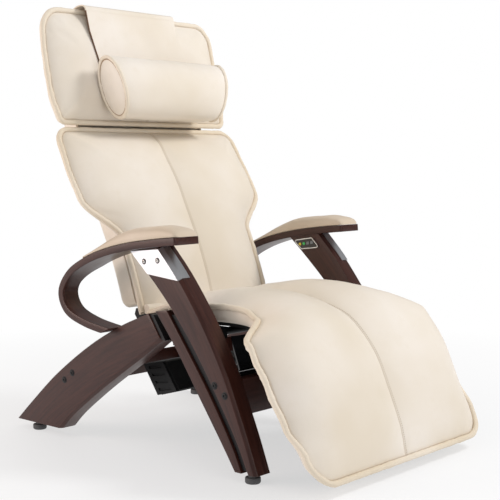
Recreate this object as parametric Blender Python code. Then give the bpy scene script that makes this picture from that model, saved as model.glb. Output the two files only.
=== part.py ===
"""Reclining massage chair with bentwood side frames, built as separate pieces.

Units are metres, +Z is up and the sitter faces -Y.  Side-view outlines are lists of (y, z) points,
with y measured from the front end of the armrests.  Every piece hangs from one empty, which shifts
the whole chair so that the middle of its box stands over the origin.
"""

import math

import bmesh
import bpy
from mathutils import Vector

# ------------------------------------------------------------------ driving dimensions
ARM_FRONT_Y = -0.10783         # world Y of the armrests' front ends
GAP = 0.0004                   # clearance between pieces that touch

LEG_OUTER_X = 0.340            # outer face of the legs, slats and posts
LEG_INNER_X = 0.289            # inner face of the same
LEG_BOTTOM_Z = 0.024
LEG_CHAMFER = 0.008
GLIDE_RADIUS = 0.019

ARM_INNER_X = 0.2865           # armrest band
ARM_OUTER_X = 0.370
ARM_INNER_REAR_X = 0.316       # the band narrows towards the rear of the loop
ARM_THICKNESS = 0.019

SEAT_PIVOT = (0.030, 0.316)    # tilt shaft, side view
BACK_PIVOT = (0.250, 0.334)    # back hinge pin, side view
SHAFT_RADIUS = 0.010
PIN_RADIUS = 0.008

PAD_THICKNESS = 0.046          # back pad
HEAD_THICKNESS = 0.044
SHELL_FRONT_DEPTH = 0.052      # back shell, measured behind the pad's face
SHELL_REAR_DEPTH = 0.112
SHELL_WALL = 0.007
SHELL_HALF_WIDTH = 0.246

RAIL_BASE = (0.241, 0.449)     # foot of the straight line that the carriage rails follow
RAIL_TILT = math.atan2(0.207, 0.391)
RAIL_DEPTH = 0.074
RAIL_X = 0.150
RAIL_RADIUS = 0.005
CARRIAGE_REST = 0.200          # carriage place along the rails at rest
ROLLER_RADIUS = 0.017
ROLLER_DEPTH = 0.066
ROLLER_RISE = 0.030

ACTUATOR_X = 0.075
ACTUATOR_REAR = (0.372, 0.186)
LEVER_EYE = (0.030, 0.204)

HEAD_TOP = (0.529, 1.174)      # middle of the head pad's top edge
STRAP_HALF_WIDTH = 0.170
PILLOW_MIDDLE = (0.410, 0.949)
PILLOW_X = 0.010               # the pillow hangs a little off centre

# ------------------------------------------------------------------ side-view outlines
REAR_LEG_TOP = [(0.658, LEG_BOTTOM_Z), (0.594, 0.081), (0.485, 0.172), (0.354, 0.261),
                (0.233, 0.326), (0.111, 0.376)]
REAR_LEG_UNDER = [(0.067, 0.314), (0.135, 0.266), (0.224, 0.208), (0.319, 0.144),
                  (0.418, 0.071), (0.469, LEG_BOTTOM_Z)]
SLAT_BACK = [(0.094, 0.380), (0.024, 0.296), (-0.056, 0.185), (-0.130, 0.083), (-0.171, LEG_BOTTOM_Z)]
SLAT_FRONT = [(0.054, 0.386), (-0.003, 0.312), (-0.070, 0.224), (-0.125, 0.144),
              (-0.168, 0.074), (-0.192, LEG_BOTTOM_Z)]
POST_BACK = [(0.190, 0.534), (0.118, 0.470), (0.041, 0.395), (-0.039, 0.300), (-0.107, 0.204),
             (-0.172, 0.104), (-0.213, LEG_BOTTOM_Z)]
POST_FRONT = [(0.083, 0.547), (0.007, 0.467), (-0.076, 0.357), (-0.137, 0.256), (-0.176, 0.173),
              (-0.208, 0.100), (-0.238, LEG_BOTTOM_Z)]
ARM_LOOP = [(-0.008, 0.560), (0.060, 0.553), (0.160, 0.539), (0.250, 0.519), (0.330, 0.491),
            (0.392, 0.455), (0.425, 0.405), (0.401, 0.357), (0.330, 0.331), (0.240, 0.317),
            (0.190, 0.310)]
SEAT_SEAM = [(0.214, 0.377), (0.120, 0.389), (0.000, 0.399), (-0.115, 0.400), (-0.200, 0.386),
             (-0.267, 0.355), (-0.332, 0.286), (-0.376, 0.197), (-0.417, 0.095), (-0.437, 0.030)]
BACK_SEAM = [(0.221, 0.386), (0.241, 0.449), (0.275, 0.535), (0.316, 0.620), (0.355, 0.696),
             (0.401, 0.767), (0.446, 0.838)]
HEAD_SEAM = [(0.456, 0.853), (0.478, 0.950), (0.499, 1.040), (0.517, 1.115), HEAD_TOP]
PANEL_CORNERS = [(0.166, 0.519), (0.097, 0.530), (0.068, 0.502), (0.134, 0.494)]

# ------------------------------------------------------------------ widths and depths along the seams
SEAT_WIDTH = [(0.0, 0.258), (0.40, 0.260), (0.455, 0.275), (0.54, 0.369), (0.72, 0.369), (0.82, 0.367),
              (0.91, 0.358), (1.0, 0.346)]
SEAT_EDGE_DEPTH = [(0.0, 0.004), (0.36, 0.004), (0.47, 0.013), (0.545, 0.034), (0.62, 0.052),
                   (0.72, 0.056), (0.82, 0.045), (0.91, 0.020), (1.0, 0.004)]
SEAT_DEPTH = [(0.0, 0.046), (0.42, 0.046), (0.62, 0.066), (0.85, 0.066), (1.0, 0.048)]
SEAT_PUFF = [(0.0, 0.004), (0.12, 0.018), (0.28, 0.028), (0.50, 0.028), (0.68, 0.012), (1.0, 0.004)]
SEAT_TUCK = [(0.0, 0.004), (0.50, 0.004), (0.60, 0.034), (1.0, 0.030)]   # how far the underside is drawn in
FOOT_CORNER = 0.060
BACK_WIDTH = [(0.0, 0.254), (0.36, 0.254), (0.60, 0.352), (0.72, 0.354), (1.0, 0.346)]
BACK_EDGE_DEPTH = [(0.0, 0.026), (0.4, 0.028), (0.7, 0.034), (1.0, 0.028)]
BACK_CORNER = 0.050
HEAD_WIDTH = [(0.0, 0.322), (0.25, 0.338), (0.6, 0.336), (1.0, 0.328)]
HEAD_EDGE_DEPTH = [(0.0, 0.022), (0.5, 0.030), (1.0, 0.022)]
HEAD_TOP_CORNER = 0.065
HEAD_LOW_CORNER = 0.022

# ------------------------------------------------------------------ helpers
CHAIR = None


def clear_scene():
    """Remove whatever the file holds, so that the script always starts from nothing."""
    for thing in list(bpy.data.objects):
        bpy.data.objects.remove(thing, do_unlink=True)


def finish(name, colour, roughness, metallic=0.0):
    """Principled material with the piece's own colour and finish."""
    material = bpy.data.materials.new(name)
    material.use_nodes = True
    shader = material.node_tree.nodes["Principled BSDF"]
    shader.inputs["Base Color"].default_value = (*colour, 1.0)
    shader.inputs["Roughness"].default_value = roughness
    shader.inputs["Metallic"].default_value = metallic
    return material


def empty(name, location, parent, tilt=0.0):
    """Empty at a side-view point, leaning back by tilt about X."""
    thing = bpy.data.objects.new(name, None)
    bpy.context.scene.collection.objects.link(thing)
    thing.parent = parent
    thing.location = location
    thing.rotation_euler = (-tilt, 0.0, 0.0)
    return thing


def piece(name, bm, material, parent=None, pivot=(0.0, 0.0, 0.0), smooth_angle=35.0):
    """Turn a bmesh into a named object whose origin is the pivot, given in the parent's frame."""
    bmesh.ops.recalc_face_normals(bm, faces=bm.faces[:])
    bmesh.ops.translate(bm, verts=bm.verts[:], vec=-Vector(pivot))
    mesh = bpy.data.meshes.new(name)
    bm.to_mesh(mesh)
    bm.free()
    mesh.materials.append(material)
    mesh.shade_smooth()
    mesh.set_sharp_from_angle(angle=math.radians(smooth_angle))
    thing = bpy.data.objects.new(name, mesh)
    bpy.context.scene.collection.objects.link(thing)
    thing.parent = parent or CHAIR
    thing.location = pivot
    return thing


def curve_through(points, per_span=4):
    """Smooth (y, z) points through the given ones, as a Catmull-Rom curve with open ends."""
    pts = [Vector(p) for p in points]
    pts = [pts[0] * 2 - pts[1]] + pts + [pts[-1] * 2 - pts[-2]]
    out = []
    for i in range(1, len(pts) - 2):
        for step in range(per_span):
            t = step / per_span
            a, b, c, d = pts[i - 1:i + 3]
            out.append(0.5 * (2 * b + (c - a) * t + (2 * a - 5 * b + 4 * c - d) * t * t
                              + (3 * b - 3 * c + d - a) * t ** 3))
    out.append(pts[-2])
    return out


def resample(points, distances):
    """Points and unit tangents at the given fractions of a polyline's length."""
    lengths = [0.0]
    for a, b in zip(points, points[1:]):
        lengths.append(lengths[-1] + (b - a).length)
    out = []
    for fraction in distances:
        target = min(max(fraction, 0.0), 1.0) * lengths[-1]
        i = max(k for k in range(len(points) - 1) if lengths[k] <= target + 1e-12)
        t = (target - lengths[i]) / (lengths[i + 1] - lengths[i])
        before = points[max(i - 1, 0)]
        after = points[min(i + 2, len(points) - 1)]
        tangent = (after - before).normalized()
        out.append((points[i].lerp(points[i + 1], t), tangent))
    return out


def line_length(points):
    """Length of a polyline."""
    return sum((b - a).length for a, b in zip(points, points[1:]))


def ramp(value, knots):
    """Smoothly stepped function through (position, value) knots."""
    if value <= knots[0][0]:
        return knots[0][1]
    for (p0, v0), (p1, v1) in zip(knots, knots[1:]):
        if value <= p1:
            t = (value - p0) / (p1 - p0)
            return v0 + (v1 - v0) * t * t * (3 - 2 * t)
    return knots[-1][1]


def loft(bm, sections, closed_ends=True):
    """Skin a row of equal closed loops."""
    rings = [[bm.verts.new(p) for p in loop] for loop in sections]
    count = len(rings[0])
    for a, b in zip(rings, rings[1:]):
        for i in range(count):
            j = (i + 1) % count
            bm.faces.new((a[i], a[j], b[j], b[i]))
    if closed_ends:
        bm.faces.new(rings[0][::-1])
        bm.faces.new(rings[-1])


def prism(bm, outline, x0, x1):
    """Extrude a closed (y, z) outline between two X planes."""
    loft(bm, [[(x, y, z) for y, z in outline] for x in (x0, x1)])


def box(bm, lo, hi):
    """Box between two corners."""
    corners = [(lo[1], lo[2]), (hi[1], lo[2]), (hi[1], hi[2]), (lo[1], hi[2])]
    prism(bm, corners, lo[0], hi[0])


def cylinder(bm, start, end, radius, segments=20):
    """Cylinder between two points."""
    a = Vector(start)
    axis = Vector(end) - a
    turn = axis.to_track_quat("Z", "Y")
    loops = []
    for base in (a, a + axis):
        loops.append([base + turn @ Vector((radius * math.cos(k * math.tau / segments),
                                            radius * math.sin(k * math.tau / segments), 0.0))
                      for k in range(segments)])
    loft(bm, loops)


def near_edges(bm, test):
    """Edges whose two ends both pass the test."""
    return [e for e in bm.edges if all(test(v.co) for v in e.verts)]


def chamfer(bm, edges, width, segments=1):
    """Bevel the given edges."""
    bmesh.ops.recalc_face_normals(bm, faces=bm.faces[:])
    bmesh.ops.bevel(bm, geom=edges, offset=width, offset_type="OFFSET", segments=segments,
                    profile=0.5, affect="EDGES")


def cut(target, cutter_bm, name):
    """Boolean difference with a hidden cutter, which takes the target's parent and origin."""
    cutter = piece(name, cutter_bm, target.data.materials[0], target.parent, (0.0, 0.0, 0.0))
    cutter.hide_render = True
    cutter.display_type = "WIRE"
    modifier = target.modifiers.new(name, "BOOLEAN")
    modifier.operation = "DIFFERENCE"
    modifier.solver = "EXACT"
    modifier.object = cutter
    return target


def join_with(target, other_bm, name):
    """Boolean union with a hidden helper."""
    cut(target, other_bm, name)
    target.modifiers[name].operation = "UNION"
    return target


def side_names():
    """Both sides of the chair: -1 is the sitter's right, +1 the sitter's left."""
    return (("r", -1.0), ("l", 1.0))


# ------------------------------------------------------------------ side frames
def rear_leg(side, sign, wood):
    """Curved rear leg, chamfered along its outer lower edge."""
    under = curve_through(REAR_LEG_UNDER)
    outline = curve_through(REAR_LEG_TOP) + under
    bm = bmesh.new()
    prism(bm, outline, sign * LEG_INNER_X, sign * LEG_OUTER_X)
    lows = {(round(p.x, 5), round(p.y, 5)) for p in under}

    def on_lower_edge(co):
        return abs(co.x) > LEG_OUTER_X - 1e-4 and (round(co.y, 5), round(co.z, 5)) in lows

    chamfer(bm, near_edges(bm, on_lower_edge), LEG_CHAMFER)
    piece("rear_leg_" + side, bm, wood)


def front_slat(side, sign, wood):
    """Slim rear member of the split front leg."""
    outline = curve_through(SLAT_BACK) + curve_through(SLAT_FRONT)[::-1]
    bm = bmesh.new()
    prism(bm, outline, sign * LEG_INNER_X, sign * LEG_OUTER_X)
    chamfer(bm, near_edges(bm, lambda co: abs(co.x) > LEG_OUTER_X - 1e-4), 0.0015)
    piece("front_slat_" + side, bm, wood)


def front_post(side, sign, wood):
    """Main front post, up to the armrest, chamfered along its outer front edge."""
    front = curve_through(POST_FRONT)
    back = curve_through(POST_BACK)
    outline = front + back[::-1]
    bm = bmesh.new()
    prism(bm, outline, sign * LEG_INNER_X, sign * LEG_OUTER_X)
    fronts = {(round(p.x, 5), round(p.y, 5)) for p in front}

    def on_front_edge(co):
        return abs(co.x) > LEG_OUTER_X - 1e-4 and (round(co.y, 5), round(co.z, 5)) in fronts

    chamfer(bm, near_edges(bm, on_front_edge), LEG_CHAMFER)
    post = piece("front_post_" + side, bm, wood)
    line = curve_through(ARM_LOOP, 5)[:21]
    under_arm = offset_band(line, ARM_THICKNESS + 2 * GAP)[len(line):]
    above = bmesh.new()
    prism(above, under_arm + [Vector((line[0].x, 0.65)), Vector((line[-1].x, 0.65))], sign * 0.25, sign * 0.40)
    cut(post, above, "post_cutter_" + side)


def slat_spacer(side, sign, black):
    """Recessed dark strip between the slat and the post."""
    slat = curve_through(SLAT_FRONT)
    post = curve_through(POST_BACK)
    rear, front = [], []
    for height in [0.030 + 0.345 * k / 10 for k in range(11)]:
        rear.append((at_height(slat, height) - 0.0009, height))
        front.append((at_height(post, height) + 0.0009, height))
    bm = bmesh.new()
    prism(bm, rear + front[::-1], sign * (LEG_INNER_X + 0.006), sign * (LEG_OUTER_X - 0.008))
    piece("slat_spacer_" + side, bm, black)


def at_height(points, height):
    """Y of a polyline where it crosses a height."""
    for a, b in zip(points, points[1:]):
        if min(a.y, b.y) <= height <= max(a.y, b.y):
            return a.x + (b.x - a.x) * (height - a.y) / (b.y - a.y)
    raise ValueError("the outline does not reach that height")


def offset_band(points, thickness):
    """Closed outline of a band of constant thickness along a centre line."""
    outer, inner = [], []
    for i, point in enumerate(points):
        tangent = (points[min(i + 1, len(points) - 1)] - points[max(i - 1, 0)]).normalized()
        normal = Vector((-tangent.y, tangent.x))
        outer.append(point + normal * thickness / 2)
        inner.append(point - normal * thickness / 2)
    return outer + inner[::-1]


def armrest(side, sign, wood):
    """Bentwood armrest: flat on top, looping back under itself onto the rear leg."""
    line = curve_through(ARM_LOOP, 5)
    outline = offset_band(line, ARM_THICKNESS)
    narrowing = [(0.42, ARM_INNER_X), (0.56, ARM_INNER_REAR_X)]
    inner = [ramp(k / (len(line) - 1), narrowing) for k in range(len(line))]
    inner += inner[::-1]
    bm = bmesh.new()
    loft(bm, [[(sign * x, p.x, p.y) for x, p in zip(inner, outline)],
              [(sign * ARM_OUTER_X, p.x, p.y) for p in outline]])
    tip = line[0].x

    def on_tip(co):
        return abs(co.y - tip) < 0.003 and abs(co.z - line[0].y) < 0.02

    corners = [e for e in near_edges(bm, on_tip) if abs(e.verts[0].co.x - e.verts[1].co.x) < 1e-5]
    chamfer(bm, corners, 0.007, 2)
    arm = piece("armrest_" + side, bm, wood)
    leg_top = curve_through(REAR_LEG_TOP)
    under = [p + Vector((0.0, GAP * 1.4)) for p in leg_top if p.x > 0.12]
    low = bmesh.new()
    prism(low, under + [Vector((0.10, 0.370)), Vector((0.10, 0.05))], sign * 0.25, sign * 0.40)
    cut(arm, low, "armrest_cutter_" + side)


def armrest_pad(side, sign, leather):
    """Padded top of the armrest: domed across, tapering to the rear and rounded at the front."""
    line = curve_through(ARM_LOOP, 5)[:21]
    top = offset_band(line, ARM_THICKNESS + 3 * GAP)[:len(line)]
    middle = (ARM_INNER_X + ARM_OUTER_X) / 2
    half = (ARM_OUTER_X - ARM_INNER_X) / 2 - 0.002
    length = line_length(top)
    done = 0.0
    sections = []
    for i, base in enumerate(top):
        done += (base - top[i - 1]).length if i else 0.0
        normal = (base - line[i]).normalized()
        height = ramp(done / length, [(0.0, 0.012), (0.16, 0.031), (0.45, 0.034), (1.0, 0.006)])
        loop = []
        for k in range(9):
            angle = math.pi * k / 8
            up = base + normal * height * (0.35 + 0.65 * math.sin(angle))
            loop.append((sign * (middle + half * math.cos(angle)), up.x, up.y))
        loop.append((sign * (middle - half), base.x, base.y))
        loop.append((sign * (middle + half), base.x, base.y))
        sections.append(loop)
    bm = bmesh.new()
    loft(bm, sections)
    piece("armrest_pad_" + side, bm, leather)


def post_bracket(side, sign, aluminium):
    """Aluminium cover that wraps the post's outer face, chamfer and front face at the armrest."""
    front = curve_through(POST_FRONT, 6)
    rear_low, rear_high = Vector((0.119, 0.4715)), Vector((0.1800, 0.5250))
    low, high = 0.4665, 0.5395
    plate = 0.0025
    flange = 0.024
    sections = []
    for k in range(6):
        share = k / 5
        height = low + (high - low) * share
        edge = Vector((at_height(front, height), height))
        ahead = Vector((at_height(front, height + 0.004), height + 0.004)) - edge
        normal = Vector((-ahead.y, ahead.x)).normalized()
        rear = rear_low.lerp(rear_high, share)
        loop = []
        for lift, order in ((GAP + plate, 1), (GAP, -1)):
            bend = lift * math.tan(math.pi / 8)
            row = [(LEG_OUTER_X + lift, rear),
                   (LEG_OUTER_X + lift, edge + normal * (bend - LEG_CHAMFER)),
                   (LEG_OUTER_X - LEG_CHAMFER + bend, edge + normal * lift),
                   (LEG_OUTER_X - LEG_CHAMFER - flange, edge + normal * lift)]
            loop.extend(row[::order])
        sections.append([(sign * x, p.x, p.y) for x, p in loop])
    bm = bmesh.new()
    loft(bm, sections)
    piece("post_bracket_" + side, bm, aluminium, smooth_angle=25.0)


def glides(side, sign, rubber):
    """Foot glides under the rear leg and under the front post."""
    for place, y in (("rear", 0.592), ("front", -0.206)):
        bm = bmesh.new()
        x = sign * (LEG_INNER_X + LEG_OUTER_X) / 2
        top = LEG_BOTTOM_Z - GAP
        rings = [(GLIDE_RADIUS - 0.003, 0.0), (GLIDE_RADIUS, 0.003), (GLIDE_RADIUS, top)]
        loft(bm, [[(x + r * math.cos(k * math.tau / 24), y + r * math.sin(k * math.tau / 24), z)
                   for k in range(24)] for r, z in rings])
        piece("glide_{}_{}".format(place, side), bm, rubber)


def stretchers(wood):
    """Two crossbars that join the side frames."""
    bm = bmesh.new()
    half = LEG_INNER_X - GAP
    prism(bm, [(0.405, 0.150), (0.430, 0.150), (0.430, 0.1755), (0.405, 0.212)], -half, half)
    piece("rear_stretcher", bm, wood)
    bm = bmesh.new()
    prism(bm, [(-0.150, 0.146), (-0.124, 0.146), (-0.124, 0.236), (-0.150, 0.236)], -half, half)
    chamfer(bm, near_edges(bm, lambda co: co.y < -0.149), 0.002)
    piece("front_stretcher", bm, wood)


# ------------------------------------------------------------------ under the seat, fixed
def tilt_bearings(steel):
    """Plates on the slats' inner faces, each with a ring around the end of the tilt shaft."""
    y, z = SEAT_PIVOT
    for side, sign in side_names():
        bm = bmesh.new()
        cylinder(bm, (sign * 0.262, y, z), (sign * (LEG_INNER_X - GAP), y, z), 0.021, 28)
        ring = piece("tilt_bearing_" + side, bm, steel)
        foot = bmesh.new()
        box(foot, (sign * 0.283, y - 0.026, z - 0.026), (sign * (LEG_INNER_X - GAP), y + 0.054, z + 0.022))
        join_with(ring, foot, "tilt_bearing_foot_" + side)
        hole = bmesh.new()
        cylinder(hole, (sign * 0.25, y, z), (sign * 0.283, y, z), SHAFT_RADIUS + GAP, 28)
        cut(ring, hole, "tilt_bearing_hole_" + side)


def power_box(black, grey):
    """Power supply hung in front of the rear stretcher, with a ribbed end cover and an inlet."""
    outline = [(0.290, 0.206), (0.234, 0.126), (0.160, 0.147), (0.214, 0.222)]
    bm = bmesh.new()
    prism(bm, outline, -0.192, 0.020)
    chamfer(bm, near_edges(bm, lambda co: True), 0.004)
    piece("power_box", bm, black)
    centre = sum((Vector(p) for p in outline), Vector((0, 0))) / 4
    frame = [centre + (Vector(p) - centre) * 0.97 for p in outline]
    bm = bmesh.new()
    prism(bm, frame, -0.200, -0.192 - GAP)
    cover = piece("power_box_cover", bm, black)
    across = (Vector(outline[1]) - Vector(outline[0])).normalized()
    along = (Vector(outline[3]) - Vector(outline[0])).normalized()
    for k in range(4):
        middle = centre + across * 0.022 * (k - 1.5)
        slot = bmesh.new()
        ends = [middle - along * 0.024 - across * 0.004, middle + along * 0.024 - across * 0.004,
                middle + along * 0.024 + across * 0.004, middle - along * 0.024 + across * 0.004]
        prism(slot, ends, -0.205, -0.197)
        cut(cover, slot, "cover_slot_{}".format(k))
    bm = bmesh.new()
    box(bm, (0.020 + GAP, 0.205, 0.150), (0.026, 0.245, 0.176))
    inlet = piece("power_inlet", bm, grey)
    well = bmesh.new()
    box(well, (0.022, 0.211, 0.155), (0.030, 0.239, 0.171))
    cut(inlet, well, "power_inlet_well")


def actuator_clevis(steel):
    """Two-eared clevis on the rear stretcher that carries the actuator's rear eye."""
    y, z = ACTUATOR_REAR
    bm = bmesh.new()
    box(bm, (ACTUATOR_X - 0.028, 0.399, z - 0.024), (ACTUATOR_X + 0.028, 0.405 - GAP, z + 0.016))
    clevis = piece("actuator_clevis", bm, steel)
    for index, x in enumerate((ACTUATOR_X - 0.026, ACTUATOR_X + 0.022)):
        ear = bmesh.new()
        box(ear, (x, y - 0.014, z - 0.014), (x + 0.004, 0.402, z + 0.014))
        join_with(clevis, ear, "clevis_ear_{}".format(index))
    bar = bmesh.new()
    cylinder(bar, (ACTUATOR_X - 0.024, y, z), (ACTUATOR_X + 0.024, y, z), 0.005, 16)
    join_with(clevis, bar, "clevis_bar")


# ------------------------------------------------------------------ control panel, fixed and keys
PANEL_X = LEG_INNER_X - GAP


def rounded(corners, radius, steps=4):
    """Closed outline with every corner rounded."""
    out = []
    count = len(corners)
    for i in range(count):
        here = Vector(corners[i])
        into = (Vector(corners[i - 1]) - here).normalized()
        away = (Vector(corners[(i + 1) % count]) - here).normalized()
        half = into.angle(away) / 2
        reach = radius / math.tan(half)
        start, end = here + into * reach, here + away * reach
        for k in range(steps + 1):
            t = k / steps
            out.append(start * (1 - t) ** 2 + here * 2 * t * (1 - t) + end * t * t)
    return out


def inset(points, distance):
    """Move a convex closed outline inwards."""
    centre = sum((Vector(p) for p in points), Vector((0, 0))) / len(points)
    out = []
    for i, point in enumerate(points):
        tangent = (Vector(points[(i + 1) % len(points)]) - Vector(points[i - 1])).normalized()
        normal = Vector((-tangent.y, tangent.x))
        if normal.dot(centre - Vector(point)) < 0:
            normal = -normal
        out.append(Vector(point) + normal * distance)
    return out


def control_panel(silver, black, keys):
    """Silver bezel, dark face plate and four sprung keys on the sitter's left post."""
    outer = rounded(PANEL_CORNERS, 0.007)
    bm = bmesh.new()
    prism(bm, outer, PANEL_X, PANEL_X - 0.005)
    bezel = piece("panel_bezel", bm, silver)
    opening = bmesh.new()
    prism(opening, inset(outer, 0.0022), PANEL_X - 0.0015, PANEL_X - 0.010)
    cut(bezel, opening, "bezel_opening")
    bm = bmesh.new()
    prism(bm, inset(outer, 0.0026), PANEL_X - 0.0015 - GAP, PANEL_X - 0.0042)
    face = piece("panel_face", bm, black)
    along = (Vector(PANEL_CORNERS[1]) - Vector(PANEL_CORNERS[0])).normalized()
    first = Vector((0.1395, 0.5085))
    for index, (name, material, shape) in enumerate(keys):
        centre = first + along * 0.0145 * index
        if shape == "round":
            outline = [centre + Vector((math.cos(k * math.tau / 16), math.sin(k * math.tau / 16))) * 0.0042
                       for k in range(16)]
        else:
            outline = [centre + Vector(p) for p in
                       ((0.0044, 0.0032), (-0.0044, 0.0046), (-0.0044, -0.0032), (0.0044, -0.0046))]
        key = bmesh.new()
        top = PANEL_X - 0.0058
        prism(key, outline, PANEL_X - 0.0030, top)
        piece(name, key, material, pivot=(top, centre.x, centre.y))
        well = bmesh.new()
        prism(well, inset(outline, -0.0004), PANEL_X - 0.0024, PANEL_X - 0.0100)
        cut(face, well, "well_" + name)


# ------------------------------------------------------------------ seat
def crowned_loop(point, normal, half, edge, depth, puff=0.0, power=3.5, tuck=0.004):
    """Cross-section of a pad: its face puffs up beside the centre seam and falls to the edges."""
    loop = []
    count = 12
    for k in range(count + 1):
        u = -1.0 + 2.0 * k / count
        swell = puff * (1.0 - (2.0 * abs(u) - 1.0) ** 2)
        place = point + normal * (swell - edge * abs(u) ** power)
        loop.append((half * u, place.x, place.y))
    back = point - normal * depth
    loop.append((half - tuck, back.x, back.y))
    loop.append((-half + tuck, back.x, back.y))
    return loop


def corner_share(distance, radius):
    """How far an edge has drawn in, near an end with rounded corners."""
    if distance >= radius:
        return 0.0
    return radius - math.sqrt(max(radius ** 2 - (radius - distance) ** 2, 0.0))


def seat_stations():
    """Places along the seat's centre seam, closer together where the outline turns."""
    coarse = [k / 16 for k in range(8)]
    middle = [0.45 + 0.02 * k for k in range(12)]
    foot = [0.74, 0.80, 0.86, 0.90, 0.93, 0.955, 0.975, 0.99, 1.0]
    return coarse + middle + foot


def seat_pad(pivot, leather):
    """One continuous pad for the seat and the leg rest."""
    line = curve_through(SEAT_SEAM, 6)
    length = line_length(line)
    sections = []
    for s in seat_stations():
        point, tangent = resample(line, [s])[0]
        normal = Vector((tangent.y, -tangent.x))
        half = ramp(s, SEAT_WIDTH) - corner_share((1.0 - s) * length, FOOT_CORNER)
        sections.append(crowned_loop(point, normal, half, ramp(s, SEAT_EDGE_DEPTH), ramp(s, SEAT_DEPTH),
                                     ramp(s, SEAT_PUFF), tuck=ramp(s, SEAT_TUCK)))
    bm = bmesh.new()
    loft(bm, sections)
    piece("seat_pad", bm, leather, pivot=pivot)


def seat_board(pivot, black):
    """Bent board under the pad, from the back hinge to the foot end."""
    line = curve_through(SEAT_SEAM, 6)
    sections = []
    for s in seat_stations()[:-2]:
        point, tangent = resample(line, [s])[0]
        normal = Vector((tangent.y, -tangent.x))
        half = ramp(s, SEAT_WIDTH) - 0.028 - ramp(s, SEAT_TUCK)
        near = point - normal * (ramp(s, SEAT_DEPTH) + GAP * 1.5)
        far = near - normal * 0.009
        sections.append([(half, near.x, near.y), (-half, near.x, near.y),
                         (-half, far.x, far.y), (half, far.x, far.y)])
    bm = bmesh.new()
    loft(bm, sections)
    piece("seat_board", bm, black, pivot=pivot)


def tilt_shaft(pivot, steel):
    """Round shaft that carries the seat between the two bearings."""
    bm = bmesh.new()
    end = 0.2825
    cylinder(bm, (-end, pivot[1], pivot[2]), (end, pivot[1], pivot[2]), SHAFT_RADIUS, 24)
    piece("tilt_shaft", bm, steel, pivot=pivot)


def shaft_saddles(pivot, steel):
    """Blocks that hold the seat board on the tilt shaft."""
    y, z = pivot[1], pivot[2]
    for side, sign in side_names():
        bm = bmesh.new()
        x = sign * 0.190
        box(bm, (x - 0.020, y - 0.022, z - 0.014), (x + 0.020, y + 0.022, z + 0.0155))
        saddle = piece("shaft_saddle_" + side, bm, steel, pivot=pivot)
        hole = bmesh.new()
        cylinder(hole, (x - 0.03, y, z), (x + 0.03, y, z), SHAFT_RADIUS + GAP, 24)
        cut(saddle, hole, "saddle_hole_" + side)


def actuator_lever(pivot, steel):
    """Lever clamped on the tilt shaft, with the pin that the push rod works on."""
    y, z = pivot[1], pivot[2]
    eye_y, eye_z = LEVER_EYE
    x0, x1 = ACTUATOR_X - 0.022, ACTUATOR_X - 0.014
    bm = bmesh.new()
    outline = []
    for k in range(9):
        angle = math.pi * k / 8
        outline.append((y + 0.019 * math.cos(angle), z + 0.019 * math.sin(angle)))
    for k in range(9):
        angle = math.pi + math.pi * k / 8
        outline.append((eye_y + 0.013 * math.cos(angle), eye_z + 0.013 * math.sin(angle)))
    prism(bm, outline, x0, x1)
    lever = piece("actuator_lever", bm, steel, pivot=pivot)
    pin = bmesh.new()
    cylinder(pin, (x1 - 0.003, eye_y, eye_z), (ACTUATOR_X + 0.014, eye_y, eye_z), 0.005, 16)
    join_with(lever, pin, "lever_pin")
    hole = bmesh.new()
    cylinder(hole, (x0 - 0.01, y, z), (x1 + 0.01, y, z), SHAFT_RADIUS + GAP, 24)
    cut(lever, hole, "lever_hole")


def hinge_brackets(steel):
    """Knuckles on the seat board that grip the back hinge pin."""
    y, z = BACK_PIVOT
    for side, sign in side_names():
        x = sign * 0.185
        bm = bmesh.new()
        cylinder(bm, (x - 0.022, y, z), (x + 0.022, y, z), 0.0145, 24)
        knuckle = piece("hinge_bracket_" + side, bm, steel, pivot=(0.0, y, z))
        foot = bmesh.new()
        prism(foot, [(0.140, 0.3215), (0.205, 0.3145), (y - 0.004, z - 0.0115), (y - 0.004, z - 0.004),
                     (0.205, 0.3205), (0.140, 0.3275)], x - 0.022, x + 0.022)
        join_with(knuckle, foot, "hinge_foot_" + side)
        hole = bmesh.new()
        cylinder(hole, (x - 0.03, y, z), (x + 0.03, y, z), PIN_RADIUS + GAP, 24)
        cut(knuckle, hole, "hinge_hole_" + side)


def shroud(pivot, gloss):
    """Glossy cover in front of the mechanism, between the posts."""
    line = [Vector((-0.050, 0.318)), Vector((-0.058, 0.285)), Vector((-0.076, 0.238)), Vector((-0.064, 0.231)),
            Vector((-0.034, 0.237))]
    bm = bmesh.new()
    prism(bm, offset_band(line, 0.004), -0.218, 0.218)
    piece("mechanism_shroud", bm, gloss, pivot=pivot)


# ------------------------------------------------------------------ back
def upright_normal(tangent):
    """Normal of the back's face, towards the sitter."""
    return Vector((-tangent.y, tangent.x))


def back_pad(pivot, leather):
    """Waisted back pad: narrow between the armrests, wide at the shoulders."""
    line = curve_through(BACK_SEAM, 6)
    length = line_length(line)
    stations = [0.0, 0.01, 0.06, 0.14, 0.22, 0.30, 0.36, 0.40, 0.44, 0.48, 0.52, 0.56, 0.60, 0.68, 0.76,
                0.84, 0.89, 0.93, 0.96, 0.98, 0.99, 1.0]
    sections = []
    for s in stations:
        point, tangent = resample(line, [s])[0]
        half = ramp(s, BACK_WIDTH) - corner_share((1.0 - s) * length, BACK_CORNER)
        sections.append(crowned_loop(point, upright_normal(tangent), half, ramp(s, BACK_EDGE_DEPTH),
                                     PAD_THICKNESS))
    bm = bmesh.new()
    loft(bm, sections)
    piece("back_pad", bm, leather, pivot=pivot)


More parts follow.
